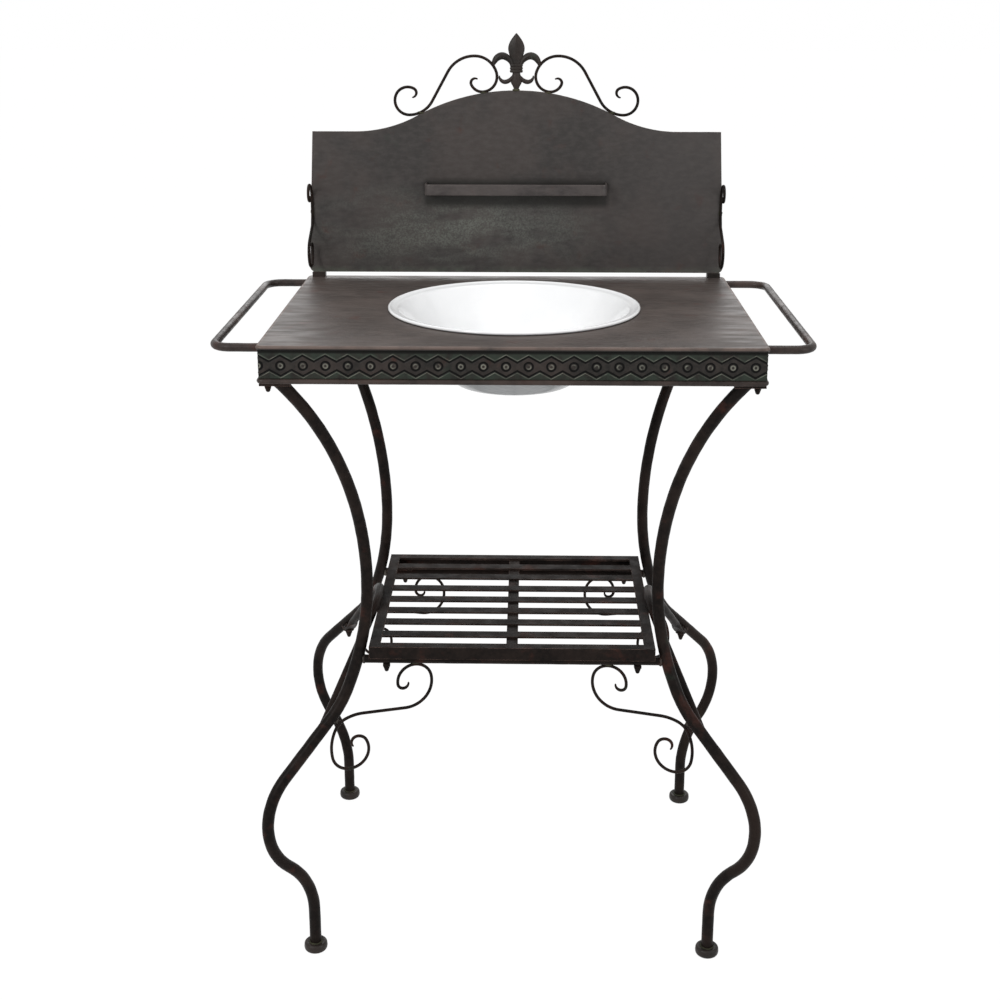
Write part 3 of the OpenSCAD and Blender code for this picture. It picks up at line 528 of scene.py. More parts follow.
for where, sx, sy in CORNERS:
    line = [(sx * r * leg_x, sy * r * leg_y, z) for r, z, h in leg_places]
    forge("Leg " + where, [stroke(line, LEG_R)], BAR_IRON, ["leg_" + where], 28, 0.7,
          cut_above=LEG_HIGH * MM)
print("waist of a leg:", [round(v, 1) for v in leg_point(544)])

# %% [markdown]
# ## Feet
# Each foot is a small cast cup that the leg stands in. A turned part is made by carrying one outline round
# an axis, as on a lathe: every point of the outline gives a ring, and faces join the rings. `turn` makes
# the basin too, and `loft` joins the sections of every other shape that changes along its way.

# %% The feet
def loft(name, rings, material, smooth=True):
    """Joins rings of points in mm, each closed or a single pole, and closes open ends with flat faces."""
    bm = bmesh.new()
    rings = [[bm.verts.new(Vector(p) * MM) for p in ring] for ring in rings]
    for a, b in zip(rings, rings[1:]):
        count = max(len(a), len(b))
        for k in range(count):
            n = (k + 1) % count
            corners = a[k % len(a)], a[n % len(a)], b[n % len(b)], b[k % len(b)]
            bm.faces.new(list(dict.fromkeys(corners)))
    for end in (rings[0], rings[-1]):
        if len(end) > 1:
            bm.faces.new(end)
    bmesh.ops.recalc_face_normals(bm, faces=bm.faces)
    for face in bm.faces:
        face.smooth = smooth and len(face.verts) <= 4
    mesh = keep(bm, bpy.data.meshes.new(name))
    mesh.materials.append(material)
    return new_object(name, mesh)


def circle(r, z, count, centre=(0, 0)):
    """Points round an upright axis, or its one point where the radius is 0."""
    return [(centre[0] + r * cos(2 * pi * k / count), centre[1] + r * sin(2 * pi * k / count), z)
            for k in range(count if r else 1)]


def turn(name, outline, material, segments=48, centre=(0, 0)):
    """Carries an outline of (radius, height) round an upright axis."""
    return loft(name, [circle(r, z, segments, centre) for r, z in outline], material)


def arc(cx, cz, r, start, end, count):
    """Points round a corner of an outline."""
    return [(cx + r * cos(radians(start + (end - start) * i / count)),
             cz + r * sin(radians(start + (end - start) * i / count))) for i in range(count + 1)]


FOOT = [(0, 0.2), (11.4, 0.2)] + arc(12.2, 4.6, 4.2, -85, -5, 6) + [(16.7, 6.4), (16.4, 8.0)] \
    + arc(12.5, 9.4, 3.9, 0, 100, 8) + [(10.4, 13.0), (8.9, 12.2), (8.2, 10.5), (0, 10.5)]
for where, sx, sy in CORNERS:
    at = (sx * foot_out * leg_x, sy * foot_out * leg_y)
    settle(turn("Foot " + where, FOOT, CAST_IRON, 48, at), "casting", "foot_" + where)
print("foot radius: %.1f mm" % max(r for r, z in FOOT))

# %% [markdown]
# ## Rails, moulding and towel handles
# More round bars: two rails join the legs under the shelf, a moulding runs round under the frieze with a
# small bend at each corner, and a handle for towels stands out on each side.

# %% Rails, moulding and handles
SHELF_Z, ANGLE_H, RAIL_R = 458, 18, 6
rail_z = SHELF_Z - ANGLE_H - RAIL_R
rail_half = leg_point(rail_z)[0] - LEG_R + 2
rail_y = leg_point(rail_z)[1]
for side, sy in (("front", -1), ("rear", 1)):
    line = [(-rail_half + 2 * rail_half * k / 100, sy * rail_y, rail_z) for k in range(101)]
    forge("Rail " + side, [stroke(line, RAIL_R)], BAR_IRON, ["rail_" + side], 20, 0.4)

EDGE_X, EDGE_Y, BEND = 322, 237, 5.5
MOULDING_R, MOULDING_Z = 3.5, 853.5
hoop = [(0, 2 * (EDGE_X - BEND)), (BEND, 90), (0, 2 * (EDGE_Y - BEND)), (BEND, 90)] * 2
ring = walk((BEND - EDGE_X, -EDGE_Y, 0), hoop, 6)[:-1]
forge("Moulding", [stroke([(x, y, MOULDING_Z) for x, y, h in ring], MOULDING_R)], RUBBED_IRON,
      ["bead_front", "bead_back", "bead_left", "bead_right"], 16, 0.25, "moulding", closed=True)

HANDLE_R, HANDLE_Y, HANDLE_Z = 5.75, 215, 892.5
HANDLE = [(0, 38), (25, 90), (0, 2 * (HANDLE_Y - 25)), (25, 90), (0, 38)]
for side, sx in SIDES:
    line = [(sx * x, y, HANDLE_Z) for x, y, h in walk((EDGE_X, -HANDLE_Y, 0), HANDLE)]
    forge("Handle " + side, [stroke(line, HANDLE_R)], RUBBED_IRON, ["handle_" + side], 20, 0.45)
print("rail half length %.1f mm, at y %.1f mm" % (rail_half, rail_y))

# %% [markdown]
# ## Scrolls
# The crest on the splash plate, the curls on its sides and the brackets under the rails are bent from one
# thin bar. A scroll's bends get tighter towards its end, and the smith draws the end out to a thin hook.
# Each chain is the same as in the solid, so the scroll stays where it is welded.

# %% The scrolls
crown_z = 900 + 223.4 + 518 * (1 - cos(radians(28.2)))
CREST = [(6.5, 151), (18, 68), (22.5, 107), (34, 68), (46, 64), (0, 49), (40, -61), (21.5, -104),
         (19.5, -105), (7, -149)]
UPPER_CURL = [(0, 20), (25, -90), (12, -180), (8, -80)]
LOWER_CURL = [(0, 8), (14, 62), (0, 36), (22, -62), (22, -90), (18, -90), (0, 8), (7, -150)]
BRACKET_TOP = [(7.5, -184), (25, -92), (23, -84), (39, -101)]
BRACKET = BRACKET_TOP + [(0, 59), (60, 25), (30, 38), (72, 37), (23, 84), (29, 113), (12.5, 71), (9, 128)]
SPLASH_Y, SCROLL_R, SIDE_X = 233.5, 2.25, 314.4
for side, sx in SIDES:
    places = walk((-58.1, crown_z + 14 + SCROLL_R, 143), CREST, 2)
    crest = [stroke([(-sx * x, SPLASH_Y, z) for x, z, h in places], SCROLL_R, (16, 16))]
    curls = [stroke([(sx * SIDE_X, 232 - u, 1000 + z)
                     for u, z, h in walk((SCROLL_R - 0.5, 0, heading), chain, 2)], SCROLL_R, (0, 14))
             for heading, chain in ((90, UPPER_CURL), (270, LOWER_CURL))]
    forge("Crest scroll " + side, crest, SCROLL_IRON, ["crest_scroll_" + side], 16, 0.12)
    forge("Side scroll " + side, curls, SCROLL_IRON, ["side_scroll_" + side], 16, 0.12)
print("crown of the splash plate: %.1f mm" % crown_z)

# %% [markdown]
# A bracket hangs under a rail and swings out to its leg, where a short weld holds its shoulder. Its highest
# point touches the rail, so the chain is moved until that point is at the weld.

# %% The scroll brackets
weld_z = rail_z - RAIL_R - SCROLL_R + 0.5
peak = walk((0, 0, 282), [BRACKET_TOP[0], (25, 184 - 282)])[-1]
start = (-peak[0], -peak[1], 282)
shoulder = along(walk(start, BRACKET[:6])[-1], BRACKET[6], 0.5)
tie_z = weld_z + shoulder[1]
tie_leg = leg_point(tie_z)
bracket_x = tie_leg[0] - sqrt((19.5 - shoulder[0]) ** 2 - (tie_leg[1] - rail_y) ** 2)
bracket_az = atan2(tie_leg[1] - rail_y, tie_leg[0] - bracket_x)
shin = radians(90 + LEG[1][1] + LEG[2][1])
shin_dir = Vector((cos(shin) * leg_x, cos(shin) * leg_y, sin(shin)))


def bracket_point(x, z):
    return Vector((bracket_x - x * cos(bracket_az), rail_y - x * sin(bracket_az), weld_z + z))


foot_of_tie = bracket_point(shoulder[0], shoulder[1])
away = Vector((*tie_leg, tie_z)) - foot_of_tie
tie = away - shin_dir * away.dot(shin_dir)
tie *= (tie.length - LEG_R + 0.5) / tie.length
for where, sx, sy in CORNERS:
    scroll = [bracket_point(x, z) for x, z, h in walk(start, BRACKET, 2)]
    short = [foot_of_tie + tie * k / 6 for k in range(7)]
    lines = [stroke([(sx * p.x, sy * p.y, p.z) for p in line], SCROLL_R, tips)
             for line, tips in ((scroll, (14, 16)), (short, (0, 0)))]
    forge("Bracket " + where, lines, SCROLL_IRON, ["bracket_" + where], 16, 0.12)
print("a bracket is %.1f mm out, its weld %.1f mm long" % (bracket_x, tie.length))

# %% [markdown]
# ## Side arches
# An arch is a bent tube that leans in from the legs to the shelf. Its front end is welded to the leg. Its
# rear end is hammered flat and bolted to a tab. The tube is forged like the bars. The flat end changes from
# a circle to a strip on the tube's lower side, so it is lofted: sections of changing shape joined by faces.

# %% The arches
def section_at(centre, across, up, half_w, half_h, power=2.0, count=24):
    """A closed section: power 2 is an ellipse, higher is a rounded rectangle, lower is a lens."""
    points = []
    for k in range(count):
        c, s = cos(2 * pi * k / count), sin(2 * pi * k / count)
        x = half_w * abs(c) ** (2 / power) * (1 if c > 0 else -1)
        y = half_h * abs(s) ** (2 / power) * (1 if s > 0 else -1)
        points.append(Vector(centre) + Vector(across) * x + Vector(up) * y)
    return points


def join(name, objs):
    """Several objects as one mesh."""
    bm = bmesh.new()
    for obj in objs:
        bm.from_mesh(obj.data)
    mesh = keep(bm, bpy.data.meshes.new(name))
    mesh.materials.append(objs[0].data.materials[0])
    for obj in objs:
        bpy.data.objects.remove(obj)
    return new_object(name, mesh)


# The arch's top and bend, the height of its eye, how far it stands out from the leg and ahead of the
# middle, and how much lower than the tube its flat end lies.
ARCH_X, ARCH_Z, ARCH_R, EYE_Z, OUT, AHEAD, LOWER = 199.5, 468, 95, 324, 3, 5, 3
TUBE_R, WELD_Z = 6.25, 342
# The flat end's length, half width and half thickness, and the bolt's distance from the bend.
FLAT_LENGTH, FLAT_W, FLAT_T, BOLT_AT = 34, 8.5, 1.5, 6.44
reach = sqrt((LEG_R + TUBE_R - 0.5) ** 2 - OUT ** 2)
behind = atan2(-cos(shin) * leg_y, sin(shin))
arch_leg = leg_point(WELD_Z)
end_x, end_y = arch_leg[0] + OUT, arch_leg[1] - reach * cos(behind) - AHEAD
end_z = WELD_Z - reach * sin(behind)
lean = atan2(end_x - ARCH_X, ARCH_Z - end_z)
fall = hypot(end_x - ARCH_X, ARCH_Z - end_z)
run = sqrt(end_y ** 2 + (fall - ARCH_R) ** 2 - ARCH_R ** 2)
arch_turn = atan2(fall - ARCH_R, end_y) + atan2(ARCH_R, run)
eye_fall = (ARCH_Z - EYE_Z - FLAT_T) / cos(lean)
eye_back = (fall - eye_fall) / sin(arch_turn)
tube = [(0, run), (ARCH_R, -2 * degrees(arch_turn)), (0, run - eye_back - FLAT_LENGTH)]


def arch_point(u, v, sx):
    return Vector((sx * (ARCH_X - v * sin(lean)), u - AHEAD, ARCH_Z + v * cos(lean)))


places = walk((-end_y, -fall, degrees(arch_turn)), tube, 3)
for side, sx in SIDES:
    line = [arch_point(u, v, sx) for u, v, h in places]
    bar = forge("Arch tube " + side, [stroke(line, TUBE_R)], BAR_IRON, [], 22, 0.4)
    tube_end = line[-1]
    forward = (tube_end - line[-3]).normalized()
    level = Vector((forward.x, forward.y, 0)).normalized()
    across = Vector((0, 0, 1)).cross(level)
    over = forward.cross(across)
    bend_at = tube_end + forward * FLAT_LENGTH - level * (LOWER / -forward.z)
    sections = []
    for s in (-2, 0, 4, 8, 12, 16, 22, 27):
        f = min(1, max(0, s / 18)) ** 0.8
        sections.append(section_at(
            tube_end + forward * s - over * (LOWER * f), across, over,
            TUBE_R + (FLAT_W - TUBE_R) * f, TUBE_R + (FLAT_T - TUBE_R) * f, 2 + 4 * f))
    middle = (forward + level).normalized()
    sections.append(section_at(bend_at, across, middle.cross(across), FLAT_W, FLAT_T, 6))
    for s in (3, BOLT_AT, 9, 11.4, 13, 14.2, 14.8):
        half = FLAT_W if s < BOLT_AT else sqrt(max(0.5, FLAT_W ** 2 - (s - BOLT_AT) ** 2))
        sections.append(section_at(bend_at + level * s, across, level.cross(across), half, FLAT_T, 6))
    flat = loft("Arch end " + side, sections, BAR_IRON)
    settle(join("Arch " + side, [bar, flat]), "iron_bar", "arch_" + side)
print("arch leans %.1f degrees" % degrees(lean))

# %% [markdown]
# ## The embossed frieze
# The strip round the top is stamped from sheet: rings with a boss in the middle, set in a chain of
# hexagons. The pattern is one rule that repeats, so it is made with Geometry Nodes as a relief: a fine grid
# whose points move out by a height worked out from where they are. The tree also stores that height, and
# whether a point is outside the hexagons, for the material to colour by.

# %% The frieze tree
frieze_tree, size = new_tree("Embossed strip", {
    "Length": 0.644, "Height": 0.037, "Pitch": 0.0286, "Rise": -0.0015, "Outer": 0.0145, "Inner": 0.0065,
    "Ring radius": 0.0054, "Boss radius": 0.0042, "Cells": 800})
T = frieze_tree
SLANT = 0.87
rows = maths(T, "ROUND", maths(T, "DIVIDE", times(T, size["Cells"], size["Height"]), size["Length"]))
grid = out(add(T, "GeometryNodeMeshGrid", {"Size X": size["Length"], "Size Y": size["Height"],
                                           "Vertices X": size["Cells"], "Vertices Y": rows}), "Mesh")
spot = split(T, out(add(T, "GeometryNodeInputPosition")))
from_end = maths(T, "ADD", spot["X"], maths(T, "DIVIDE", size["Length"], 2.0))
part = maths(T, "FRACT", maths(T, "DIVIDE", from_end, size["Pitch"]))
half_part = maths(T, "MINIMUM", part, minus(T, 1.0, part))
up = maths(T, "ABSOLUTE", minus(T, spot["Y"], size["Rise"]))
drop = times(T, times(T, half_part, 2.0), minus(T, size["Outer"], size["Inner"]))
beyond = times(T, minus(T, up, minus(T, size["Outer"], drop)), SLANT)


def bell(value, centre, width):
    """1 at the centre, falling to 0 at that distance on both sides."""
    gap = maths(T, "ABSOLUTE", minus(T, value, centre))
    return ramp(T, gap, width, width * 0.15, smooth=True)


ridge = bell(beyond, 0.0010, 0.0011)
trench = bell(beyond, -0.0009, 0.0019)
across_ring = times(T, half_part, size["Pitch"])
from_middle = maths(T, "SQRT", maths(T, "ADD", times(T, across_ring, across_ring), times(T, up, up)))
ring_trench = bell(from_middle, size["Ring radius"], 0.0019)
boss = bell(from_middle, times(T, size["Boss radius"], 0.65), 0.0016)
outside = ramp(T, beyond, 0.0, 0.0006)
height = minus(T, 0.55, times(T, outside, 0.3))
height = maths(T, "ADD", height, times(T, ridge, 0.75))
height = maths(T, "ADD", height, times(T, boss, 0.45))
height = minus(T, height, maths(T, "MAXIMUM", trench, ring_trench))
height = maths(T, "MINIMUM", height, 1.15)
marked = grid
for name, value in (("height", height), ("outside", outside)):
    marked = out(add(T, "GeometryNodeStoreNamedAttribute", {"Geometry": marked, "Name": name, "Value": value},
                     data_type="FLOAT", domain="POINT"))
place = axes(T, X=spot["X"], Y=times(T, carried(T, "height"), -MM), Z=spot["Y"])
raised = out(add(T, "GeometryNodeSetPosition", {"Geometry": marked, "Position": place}))
end_tree(T, size, out(add(T, "GeometryNodeSetShadeSmooth", {"Geometry": raised})))
print("frieze tree nodes:", len(T.nodes))

# %% The four strips
FRIEZE_MID, STRIP_T = (894 + 857) / 2, 2.5
for side, length, quarter, off in (("front", 644, 0, EDGE_Y), ("right", 469, 1, EDGE_X),
                                   ("back", 644, 2, EDGE_Y), ("left", 469, 3, EDGE_X)):
    strip = grow("Frieze " + side, bpy.data.meshes.new("strip"), frieze_tree, {
        "Length": length * MM, "Cells": round(length / 0.8), "Material": FRIEZE_IRON})
    bm = bmesh.new()
    bm.from_mesh(strip.data)
    rim = bmesh.ops.extrude_edge_only(bm, edges=[e for e in bm.edges if e.is_boundary])["geom"]
    for v in rim:
        if isinstance(v, bmesh.types.BMVert):
            v.co.y = STRIP_T * MM
    bmesh.ops.holes_fill(bm, edges=[e for e in bm.edges if e.is_boundary])
    bmesh.ops.recalc_face_normals(bm, faces=bm.faces)
    turned = (1, 0, -1, 0)[quarter], (0, 1, 0, -1)[quarter]
    for v in bm.verts:
        x, y = v.co.x, v.co.y - off * MM
        v.co = (x * turned[0] - y * turned[1], x * turned[1] + y * turned[0], v.co.z + FRIEZE_MID * MM)
    keep(bm, strip.data)
    settle(strip, "frieze", "frieze_" + side)
print("frieze strip triangles:", triangles(strip))

# %% [markdown]
# ## Shelf slats
# Seven flat bars lie across the shelf frame. One bar with softened edges is made, and a small tree repeats
# it: Mesh Line sets the spacing, Instance on Points copies the bar, and a random turn with a fixed seed
# keeps them from looking machine-made.

# %% The slats
def softened_box(name, low, high, edge):
    bm = bmesh.new()
    bmesh.ops.create_cube(bm, size=1)
    for v in bm.verts:
        v.co = [(h if c > 0 else l) * MM for c, l, h in zip(v.co, low, high)]
    bmesh.ops.bevel(bm, geom=bm.edges[:], offset=edge * MM, segments=2, profile=0.6, affect="EDGES")
    return keep(bm, bpy.data.meshes.new(name))


slat_tree, size = new_tree("Slats", {"Count": 7, "Pitch": 0.0418, "Twist": 0.006, "Seed": 3})
T = slat_tree
first = times(T, minus(T, size["Count"], 1.0), times(T, size["Pitch"], -0.5))
line = out(add(T, "GeometryNodeMeshLine", {
    "Count": size["Count"], "Start Location": axes(T, Y=first), "Offset": axes(T, Y=size["Pitch"])},
    mode="OFFSET"))
chance = out(add(T, "FunctionNodeRandomValue", {
    "Min": -1.0, "Max": 1.0, "Seed": size["Seed"]}, data_type="FLOAT"))
twist = axes(T, X=times(T, chance, size["Twist"]), Z=times(T, chance, times(T, size["Twist"], 0.5)))
end_tree(T, size, copies(T, line, size["Geometry"], Rotation=twist))
SLAT_LOW, SLAT_HIGH, SOFT_EDGE = (-183, -9, 455.1), (183, 9, 457.9), 0.5
slat = softened_box("slat", SLAT_LOW, SLAT_HIGH, SOFT_EDGE)
slats = grow("Shelf slats", slat, slat_tree, {"Material": FLAT_IRON})
settle(slats, "flat_bar", "shelf_slats")
print("slat triangles:", triangles(slats))

# %% [markdown]
# ## Dome nuts and weld beads
# The nuts and the welds are small things in many places, so both are instances on points. A nut is a
# chamfered hexagon with a pointed dome under it. A weld is a lump of iron, so it is a ball pushed about
# by noise, a different size at each joint.

# %% Nuts
NUT_W = 10
corner = NUT_W / 2 / cos(pi / 6)
hexagon = [(corner - 0.7, 0.0), (corner, -0.5), (corner, -4.5), (corner - 0.7, -5.0)]
dome = [(4.5, -4.9), (4.3, -6.4), (3.8, -8.2)] + arc(0, -9.9, 3.1, 0, -84, 6)
nut = join("nut", [loft("nut", [circle(r, z, sides) for r, z in outline], SCROLL_IRON, sides > 6)
                   for outline, sides in ((hexagon, 6), (dome, 24))])
nut_tree, size = new_tree("Parts on points", {"Seed": 5}, "Part")
T = nut_tree
part = out(add(T, "GeometryNodeObjectInfo", {"Object": size["Part"]}), "Geometry")
spin = out(add(T, "FunctionNodeRandomValue", {
    "Min": 0.0, "Max": 1.0, "Seed": size["Seed"]}, data_type="FLOAT"))
end_tree(T, size, copies(T, size["Geometry"], part, Rotation=axes(T, Z=spin)))
TWO, FOUR = [(-1, 1), (1, 1)], [(-1, -1), (-1, 1), (1, -1), (1, 1)]


def each(x, y, z, mirrors=FOUR):
    """A place and its mirror images."""
    return [(sx * x, sy * y, z) for sx, sy in mirrors]


eye_at = bend_at + level * BOLT_AT
seats = each(314, 217, LEG_HIGH) + each(175, rail_y, rail_z - RAIL_R) \
    + each(eye_at.x, eye_at.y, EYE_Z - 2 * FLAT_T, TWO)
points = bpy.data.meshes.new("seats")
points.from_pydata([Vector(p) * MM for p in seats], [], [])
nuts = grow("Dome nuts", points, nut_tree, {"Part": nut, "Material": SCROLL_IRON})
bpy.data.objects.remove(nut)
settle(nuts, "fasteners", "top_dome_nuts", "shelf_dome_nuts", "arch_dome_nuts")
print("nuts:", len(seats))

# %% Welds
weld_tree, size = new_tree("Weld beads", {"Lumps": 0.0011})
T = weld_tree
ball = out(add(T, "GeometryNodeMeshIcoSphere", {"Radius": 1.0, "Subdivisions": 4}), "Mesh")
beads = copies(T, size["Geometry"], ball, Scale=carried(T, "girth", "FLOAT_VECTOR"))
beads = out(add(T, "GeometryNodeRealizeInstances", {"Geometry": beads}))
lumps = times(T, minus(T, noise(T, 260.0, 2.0), 0.5), times(T, size["Lumps"], 2.0))
end_tree(T, size, push_out(T, beads, lumps))


def weld(name, beads, material):
    """beads holds the half sizes of a bead and all the places that have one like it."""
    mesh = bpy.data.meshes.new(name)
    mesh.from_pydata([Vector(p) * MM for girth, spots in beads for p in spots], [], [])
    mesh.attributes.new("girth", "FLOAT_VECTOR", "POINT").data.foreach_set(
        "vector", [v * MM for girth, spots in beads for p in spots for v in girth])
    settle(grow(name, mesh, weld_tree, {"Material": material}), "iron_bar")
    print(name.lower() + ":", len(mesh.vertices))


weld("Bright welds", [
    ((3.4, 6.9, 6.9), each(rail_half - 2.5, rail_y, rail_z)),
    ((3.4, 3.4, 3.6), each(*(foot_of_tie + tie))),
    ((4.6, 4.6, 5.6), each(end_x - OUT * 0.4, -end_y - AHEAD - reach * 0.36, end_z + 3, TWO)),
    ((3.5, 7, 2.5), each(ARCH_X, -AHEAD, ARCH_Z - 6.5, TWO))], WELD_IRON)
weld("Green welds", [
    ((5.5, 3.2, 2.6), [(0, SPLASH_Y, crown_z + 0.5)]),
    ((6.5, 3.0, 2.0), each(bracket_x, rail_y, weld_z + 2.2)),
    ((10.2, 10.2, 2.6), each(foot_out * leg_x, foot_out * leg_y, 12.2)),
    ((5.5, 2.6, 2.0), each(49, SPLASH_Y, crown_z - 3.2, TWO) + each(145, SPLASH_Y, crown_z - 33.2, TWO)),
    ((2.8, 2.0, 5.5), each(SIDE_X, 231.0, 1000, TWO))], GREEN_WELD)

# %% [markdown]
# ## The finial
# The fleur-de-lis is cast, with a ridge down each petal. A petal is a loft along a curved spine: its
# sections are lenses that swell and shrink, and their sharp sides make the ridge. The band that ties the
# petals has three ribs.

# %% The finial
def through(points, steps=6):
    """A smooth line through points of any number of values (a Catmull-Rom spline)."""
    pts = [points[0]] + list(points) + [points[-1]]
    line = []
    for i in range(1, len(pts) - 2):
        a, b, c, d = pts[i - 1:i + 3]
        for k in range(steps):
            t = k / steps
            line.append(tuple(0.5 * (2 * q + (r - p) * t + (2 * p - 5 * q + 4 * r - s) * t ** 2
                                     + (3 * q - p - 3 * r + s) * t ** 3) for p, q, r, s in zip(a, b, c, d)))
    return line + [tuple(points[-1])]


def petal(name, spine, depth, power, sx=1):
    """spine holds (x, z, half width); depth is the half thickness at the widest place."""
    line = through(spine)
    widest = max(w for x, z, w in line)
    sections = []
    for i, (x, z, w) in enumerate(line):
        before, after = line[max(0, i - 1)], line[min(len(line) - 1, i + 1)]
        tangent = Vector((after[0] - before[0], 0, after[1] - before[1])).normalized()
        across = tangent.cross(Vector((0, 1, 0)))
        sections.append([(sx * p.x, p.y, p.z) for p in section_at(
            (x, SPLASH_Y, z), across, (0, 1, 0), max(w, 0.3), depth * sqrt(max(w, 0.3) / widest), power, 20)])
    return loft(name, sections, CAST_IRON)


parts = [
    petal("leaf", [(0, 1217, 4.6), (0, 1224, 5.6), (0, 1233, 9.2), (0, 1243, 12.1), (0, 1250, 12.0),
                   (0, 1257, 9.2), (0, 1263.5, 4.8), (0, 1268.6, 0.6)], 3.7, 1.25),
    petal("tail", [(0, 1216, 5.6), (0, 1208, 6.2), (0, 1202, 8.4), (0, 1196.5, 8.2), (0, 1191, 5.4),
                   (0, 1185, 2.6)], 3.5, 1.3)]
for sx in (-1, 1):
    parts.append(petal("side petal", [
        (5, 1219, 2.4), (9, 1228, 3.8), (15, 1233.6, 5.0), (22, 1235.6, 5.4), (29, 1232.6, 5.0),
        (33.5, 1226, 3.6), (34.6, 1219.5, 1.0)], 3.4, 1.3, sx))
    parts.append(petal("hook", [
        (4, 1206, 2.6), (9.5, 1200.2, 3.2), (16, 1197.4, 3.4), (21.5, 1198.6, 2.9), (25, 1202.6, 1.9),
        (25.6, 1206.6, 0.8)], 3.0, 1.4, sx))
RIB = [(-2.2, 0), (-1.5, 0.9), (0, 1.3), (1.5, 0.9), (2.2, 0)]
for z in (1213.2, 1217.4, 1221.6):
    parts.append(loft("rib", [section_at((0, SPLASH_Y, z + h), (1, 0, 0), (0, 1, 0), 8.6 + b, 3.3 + b / 2, 4)
                              for h, b in RIB], CAST_IRON))
finial = settle(join("Fleur-de-lis", parts), "casting", "fleur_de_lis")
print("finial triangles:", triangles(finial))

# %% [markdown]
# ## The ledge bar
# A flat bar stands off the splash plate and is bent round to it at both ends. Its section, a rectangle with
# soft corners, follows a chain of arcs just as the round bars do, so it is lofted along one.

# %% The ledge bar
LEDGE_X, LEDGE_R, LEDGE_HALF_T, LEDGE_HALF_H, LEDGE_Z = 137.5, 7.5, 1.5, 8.3, 1038.3
LEDGE = [(0, 19.5), (LEDGE_R, 90), (0, 2 * (LEDGE_X - LEDGE_R)), (LEDGE_R, 90), (0, 19.5)]
places = walk((-LEDGE_X, 231.5, -90), LEDGE, 3)
sections = [section_at((x, y, LEDGE_Z), (-sin(radians(h)), cos(radians(h)), 0), (0, 0, 1),
                       LEDGE_HALF_T, LEDGE_HALF_H, 7, 28) for x, y, h in places]
settle(loft("Ledge bar", sections, LEDGE_IRON), "flat_bar", "ledge_bar")
print("ledge bar reaches y %.1f mm" % min(y for x, y, h in places))

# %% [markdown]
# ## The basin
# The basin lifts out, so it is a body of its own. It is pressed from sheet: a flat bottom, walls that curve
# up, a wide flat rim and a rolled edge. The outline below runs down the inside and up the outside, and is
# turned like the feet, with more points where it bends.

# %% The basin
DEPTH, BOTTOM_R, FLARE, SKIN = 106, 84, 79, 2
RIM_Z = 900.3 + 2.4
FLOOR_Z = RIM_Z - DEPTH


def wall(t, skin):
    return BOTTOM_R + FLARE * t + skin * t, FLOOR_Z + DEPTH * t ** 1.25 - skin * (1 - t)


inside = [(0, FLOOR_Z), (30, FLOOR_Z)] + [wall(t / 40, 0) for t in range(39)] \
    + [(161.2, RIM_Z - 3.8), (162.6, RIM_Z - 1.4), (165.0, RIM_Z - 0.2), (168, RIM_Z)]
lip = arc(175.1, RIM_Z, 2.4, 150, -90, 12)
outside_skin = [(172.5, RIM_Z - 2), (166.6, RIM_Z - 2.2), (164.8, RIM_Z - 3.6)] \
    + [wall(t / 40, SKIN) for t in range(38, -1, -1)] + [(30, FLOOR_Z - SKIN), (0, FLOOR_Z - SKIN)]
outline = inside + lip + outside_skin
settle(turn("Enamel basin", outline, ENAMEL, 128), "enamel", "enamel_basin", body="basin")
print("basin radius %.1f mm" % max(r for r, z in lip))

# %% [markdown]
# ## Finishes on the solid parts
# The flat parts already have the right shape: the top with its rolled rim, the splash plate, the shelf
# frame and the small plates. They keep their meshes and get a finish each.

# %% Finish the solid parts
FINISH = {"tray_top": TOP_SHEET, "splash_plate": SPLASH_SHEET,
          "splash_pad_left": CAST_IRON, "splash_pad_right": CAST_IRON}
kept = 0
for node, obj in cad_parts.items():
    if not obj.hide_render:
        obj.data.materials.clear()
        obj.data.materials.append(FINISH.get(node, FLAT_IRON))
        kept += 1
print("solid parts kept:", kept)

# %% [markdown]
# ## Studio
# The photograph is a plain product picture: white all round and soft light from the front and above. The
# floor is white, and seen by the camera it glows a little, so it stays white while still taking the
# stand's shadow. The world is white for the camera and for reflections, and dimmer as a light.

# %% Floor and world
def seen(tree, dim, bright):
    """bright where the camera looks or a reflection does, and dim as light on the object."""
    rays = add(tree, "ShaderNodeLightPath")
    direct = maths(tree, "MAXIMUM", out(rays, "Is Camera Ray"), out(rays, "Is Transmission Ray"))
    direct = maths(tree, "MAXIMUM", direct, out(rays, "Is Glossy Ray"))
    return ramp(tree, direct, 0.0, 1.0, dim, bright)


world = bpy.data.worlds.new("White studio")
scene.world = world
world.use_nodes = True
backdrop = world.node_tree.nodes["Background"]
backdrop.inputs["Color"].default_value = (1, 1, 1, 1)
world.node_tree.links.new(seen(world.node_tree, 0.55, 1.0), backdrop.inputs["Strength"])

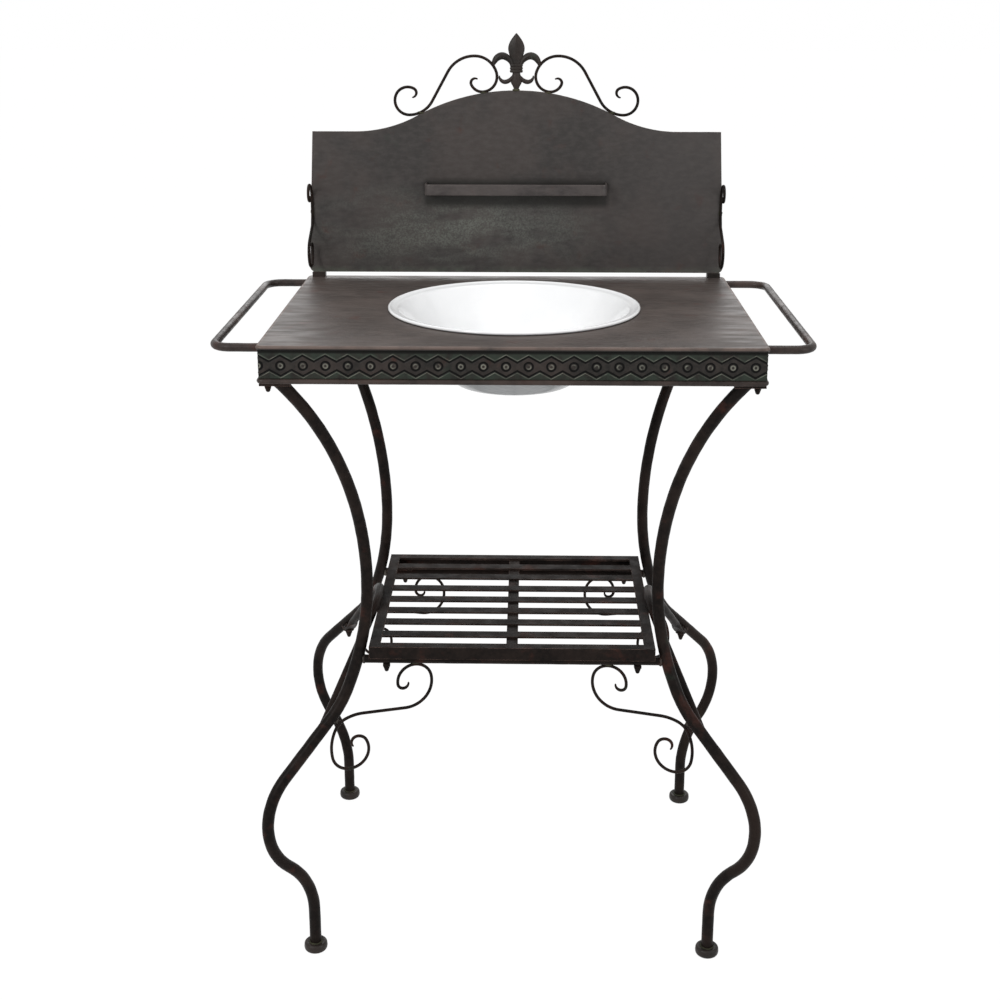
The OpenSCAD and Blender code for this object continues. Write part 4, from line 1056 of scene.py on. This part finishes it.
paper = bpy.data.materials.new("White paper")
paper.use_nodes = True
tree = paper.node_tree
tree.nodes.remove(tree.nodes["Principled BSDF"])
matt = out(add(tree, "ShaderNodeBsdfDiffuse", {"Color": (0.8, 0.8, 0.8, 1)}))
glow = out(add(tree, "ShaderNodeEmission", {"Color": (1, 1, 1, 1), "Strength": 1.045}))
mixed = add(tree, "ShaderNodeMixShader", {0: seen(tree, 0.0, 0.93), 1: matt, 2: glow})
tree.links.new(out(mixed), tree.nodes["Material Output"].inputs["Surface"])
FLOOR = 30
floor_mesh = bpy.data.meshes.new("Floor")
floor_mesh.from_pydata([(-FLOOR, -FLOOR, 0), (FLOOR, -FLOOR, 0), (FLOOR, FLOOR, 0), (-FLOOR, FLOOR, 0)], [],
                       [(0, 1, 2, 3)])
floor_mesh.materials.append(paper)
floor = new_object("Floor", floor_mesh)
print("floor and world ready")

# %% Lights
def softbox(name, place, target, width, height, power):
    light = bpy.data.lights.new(name, "AREA")
    light.shape = "RECTANGLE"
    light.size, light.size_y, light.energy = width, height, power
    lamp = new_object(name, light)
    lamp.location = place
    lamp.rotation_euler = (Vector(target) - Vector(place)).to_track_quat("-Z", "Y").to_euler()


softbox("Key", (-2.2, -2.6, 2.6), (0, 0, 0.6), 0.9, 1.5, 60)
softbox("Fill", (2.6, -1.8, 1.6), (0, 0, 0.6), 0.8, 1.8, 24)
softbox("Top", (0.2, 0.3, 3.2), (0, 0, 0.8), 2.0, 1.6, 26)
softbox("Back", (-0.05, 2.8, 2.0), (0, 0, 0.7), 2.0, 1.4, 16)

# %% [markdown]
# ## Camera
# The camera stands about two metres in front at head height and looks down by 16 degrees. Its lens is
# shifted down a little, as the photograph's is.

# %% Camera
lens = bpy.data.cameras.new("Camera")
lens.lens = 53.82
lens.shift_y = -0.09
camera = new_object("Camera", lens)
camera.location = (0.022, -2.068, 1.339)
camera.rotation_euler = (radians(90 - 15.9), 0, radians(1.16))
scene.camera = camera
scene.view_settings.view_transform = "Standard"
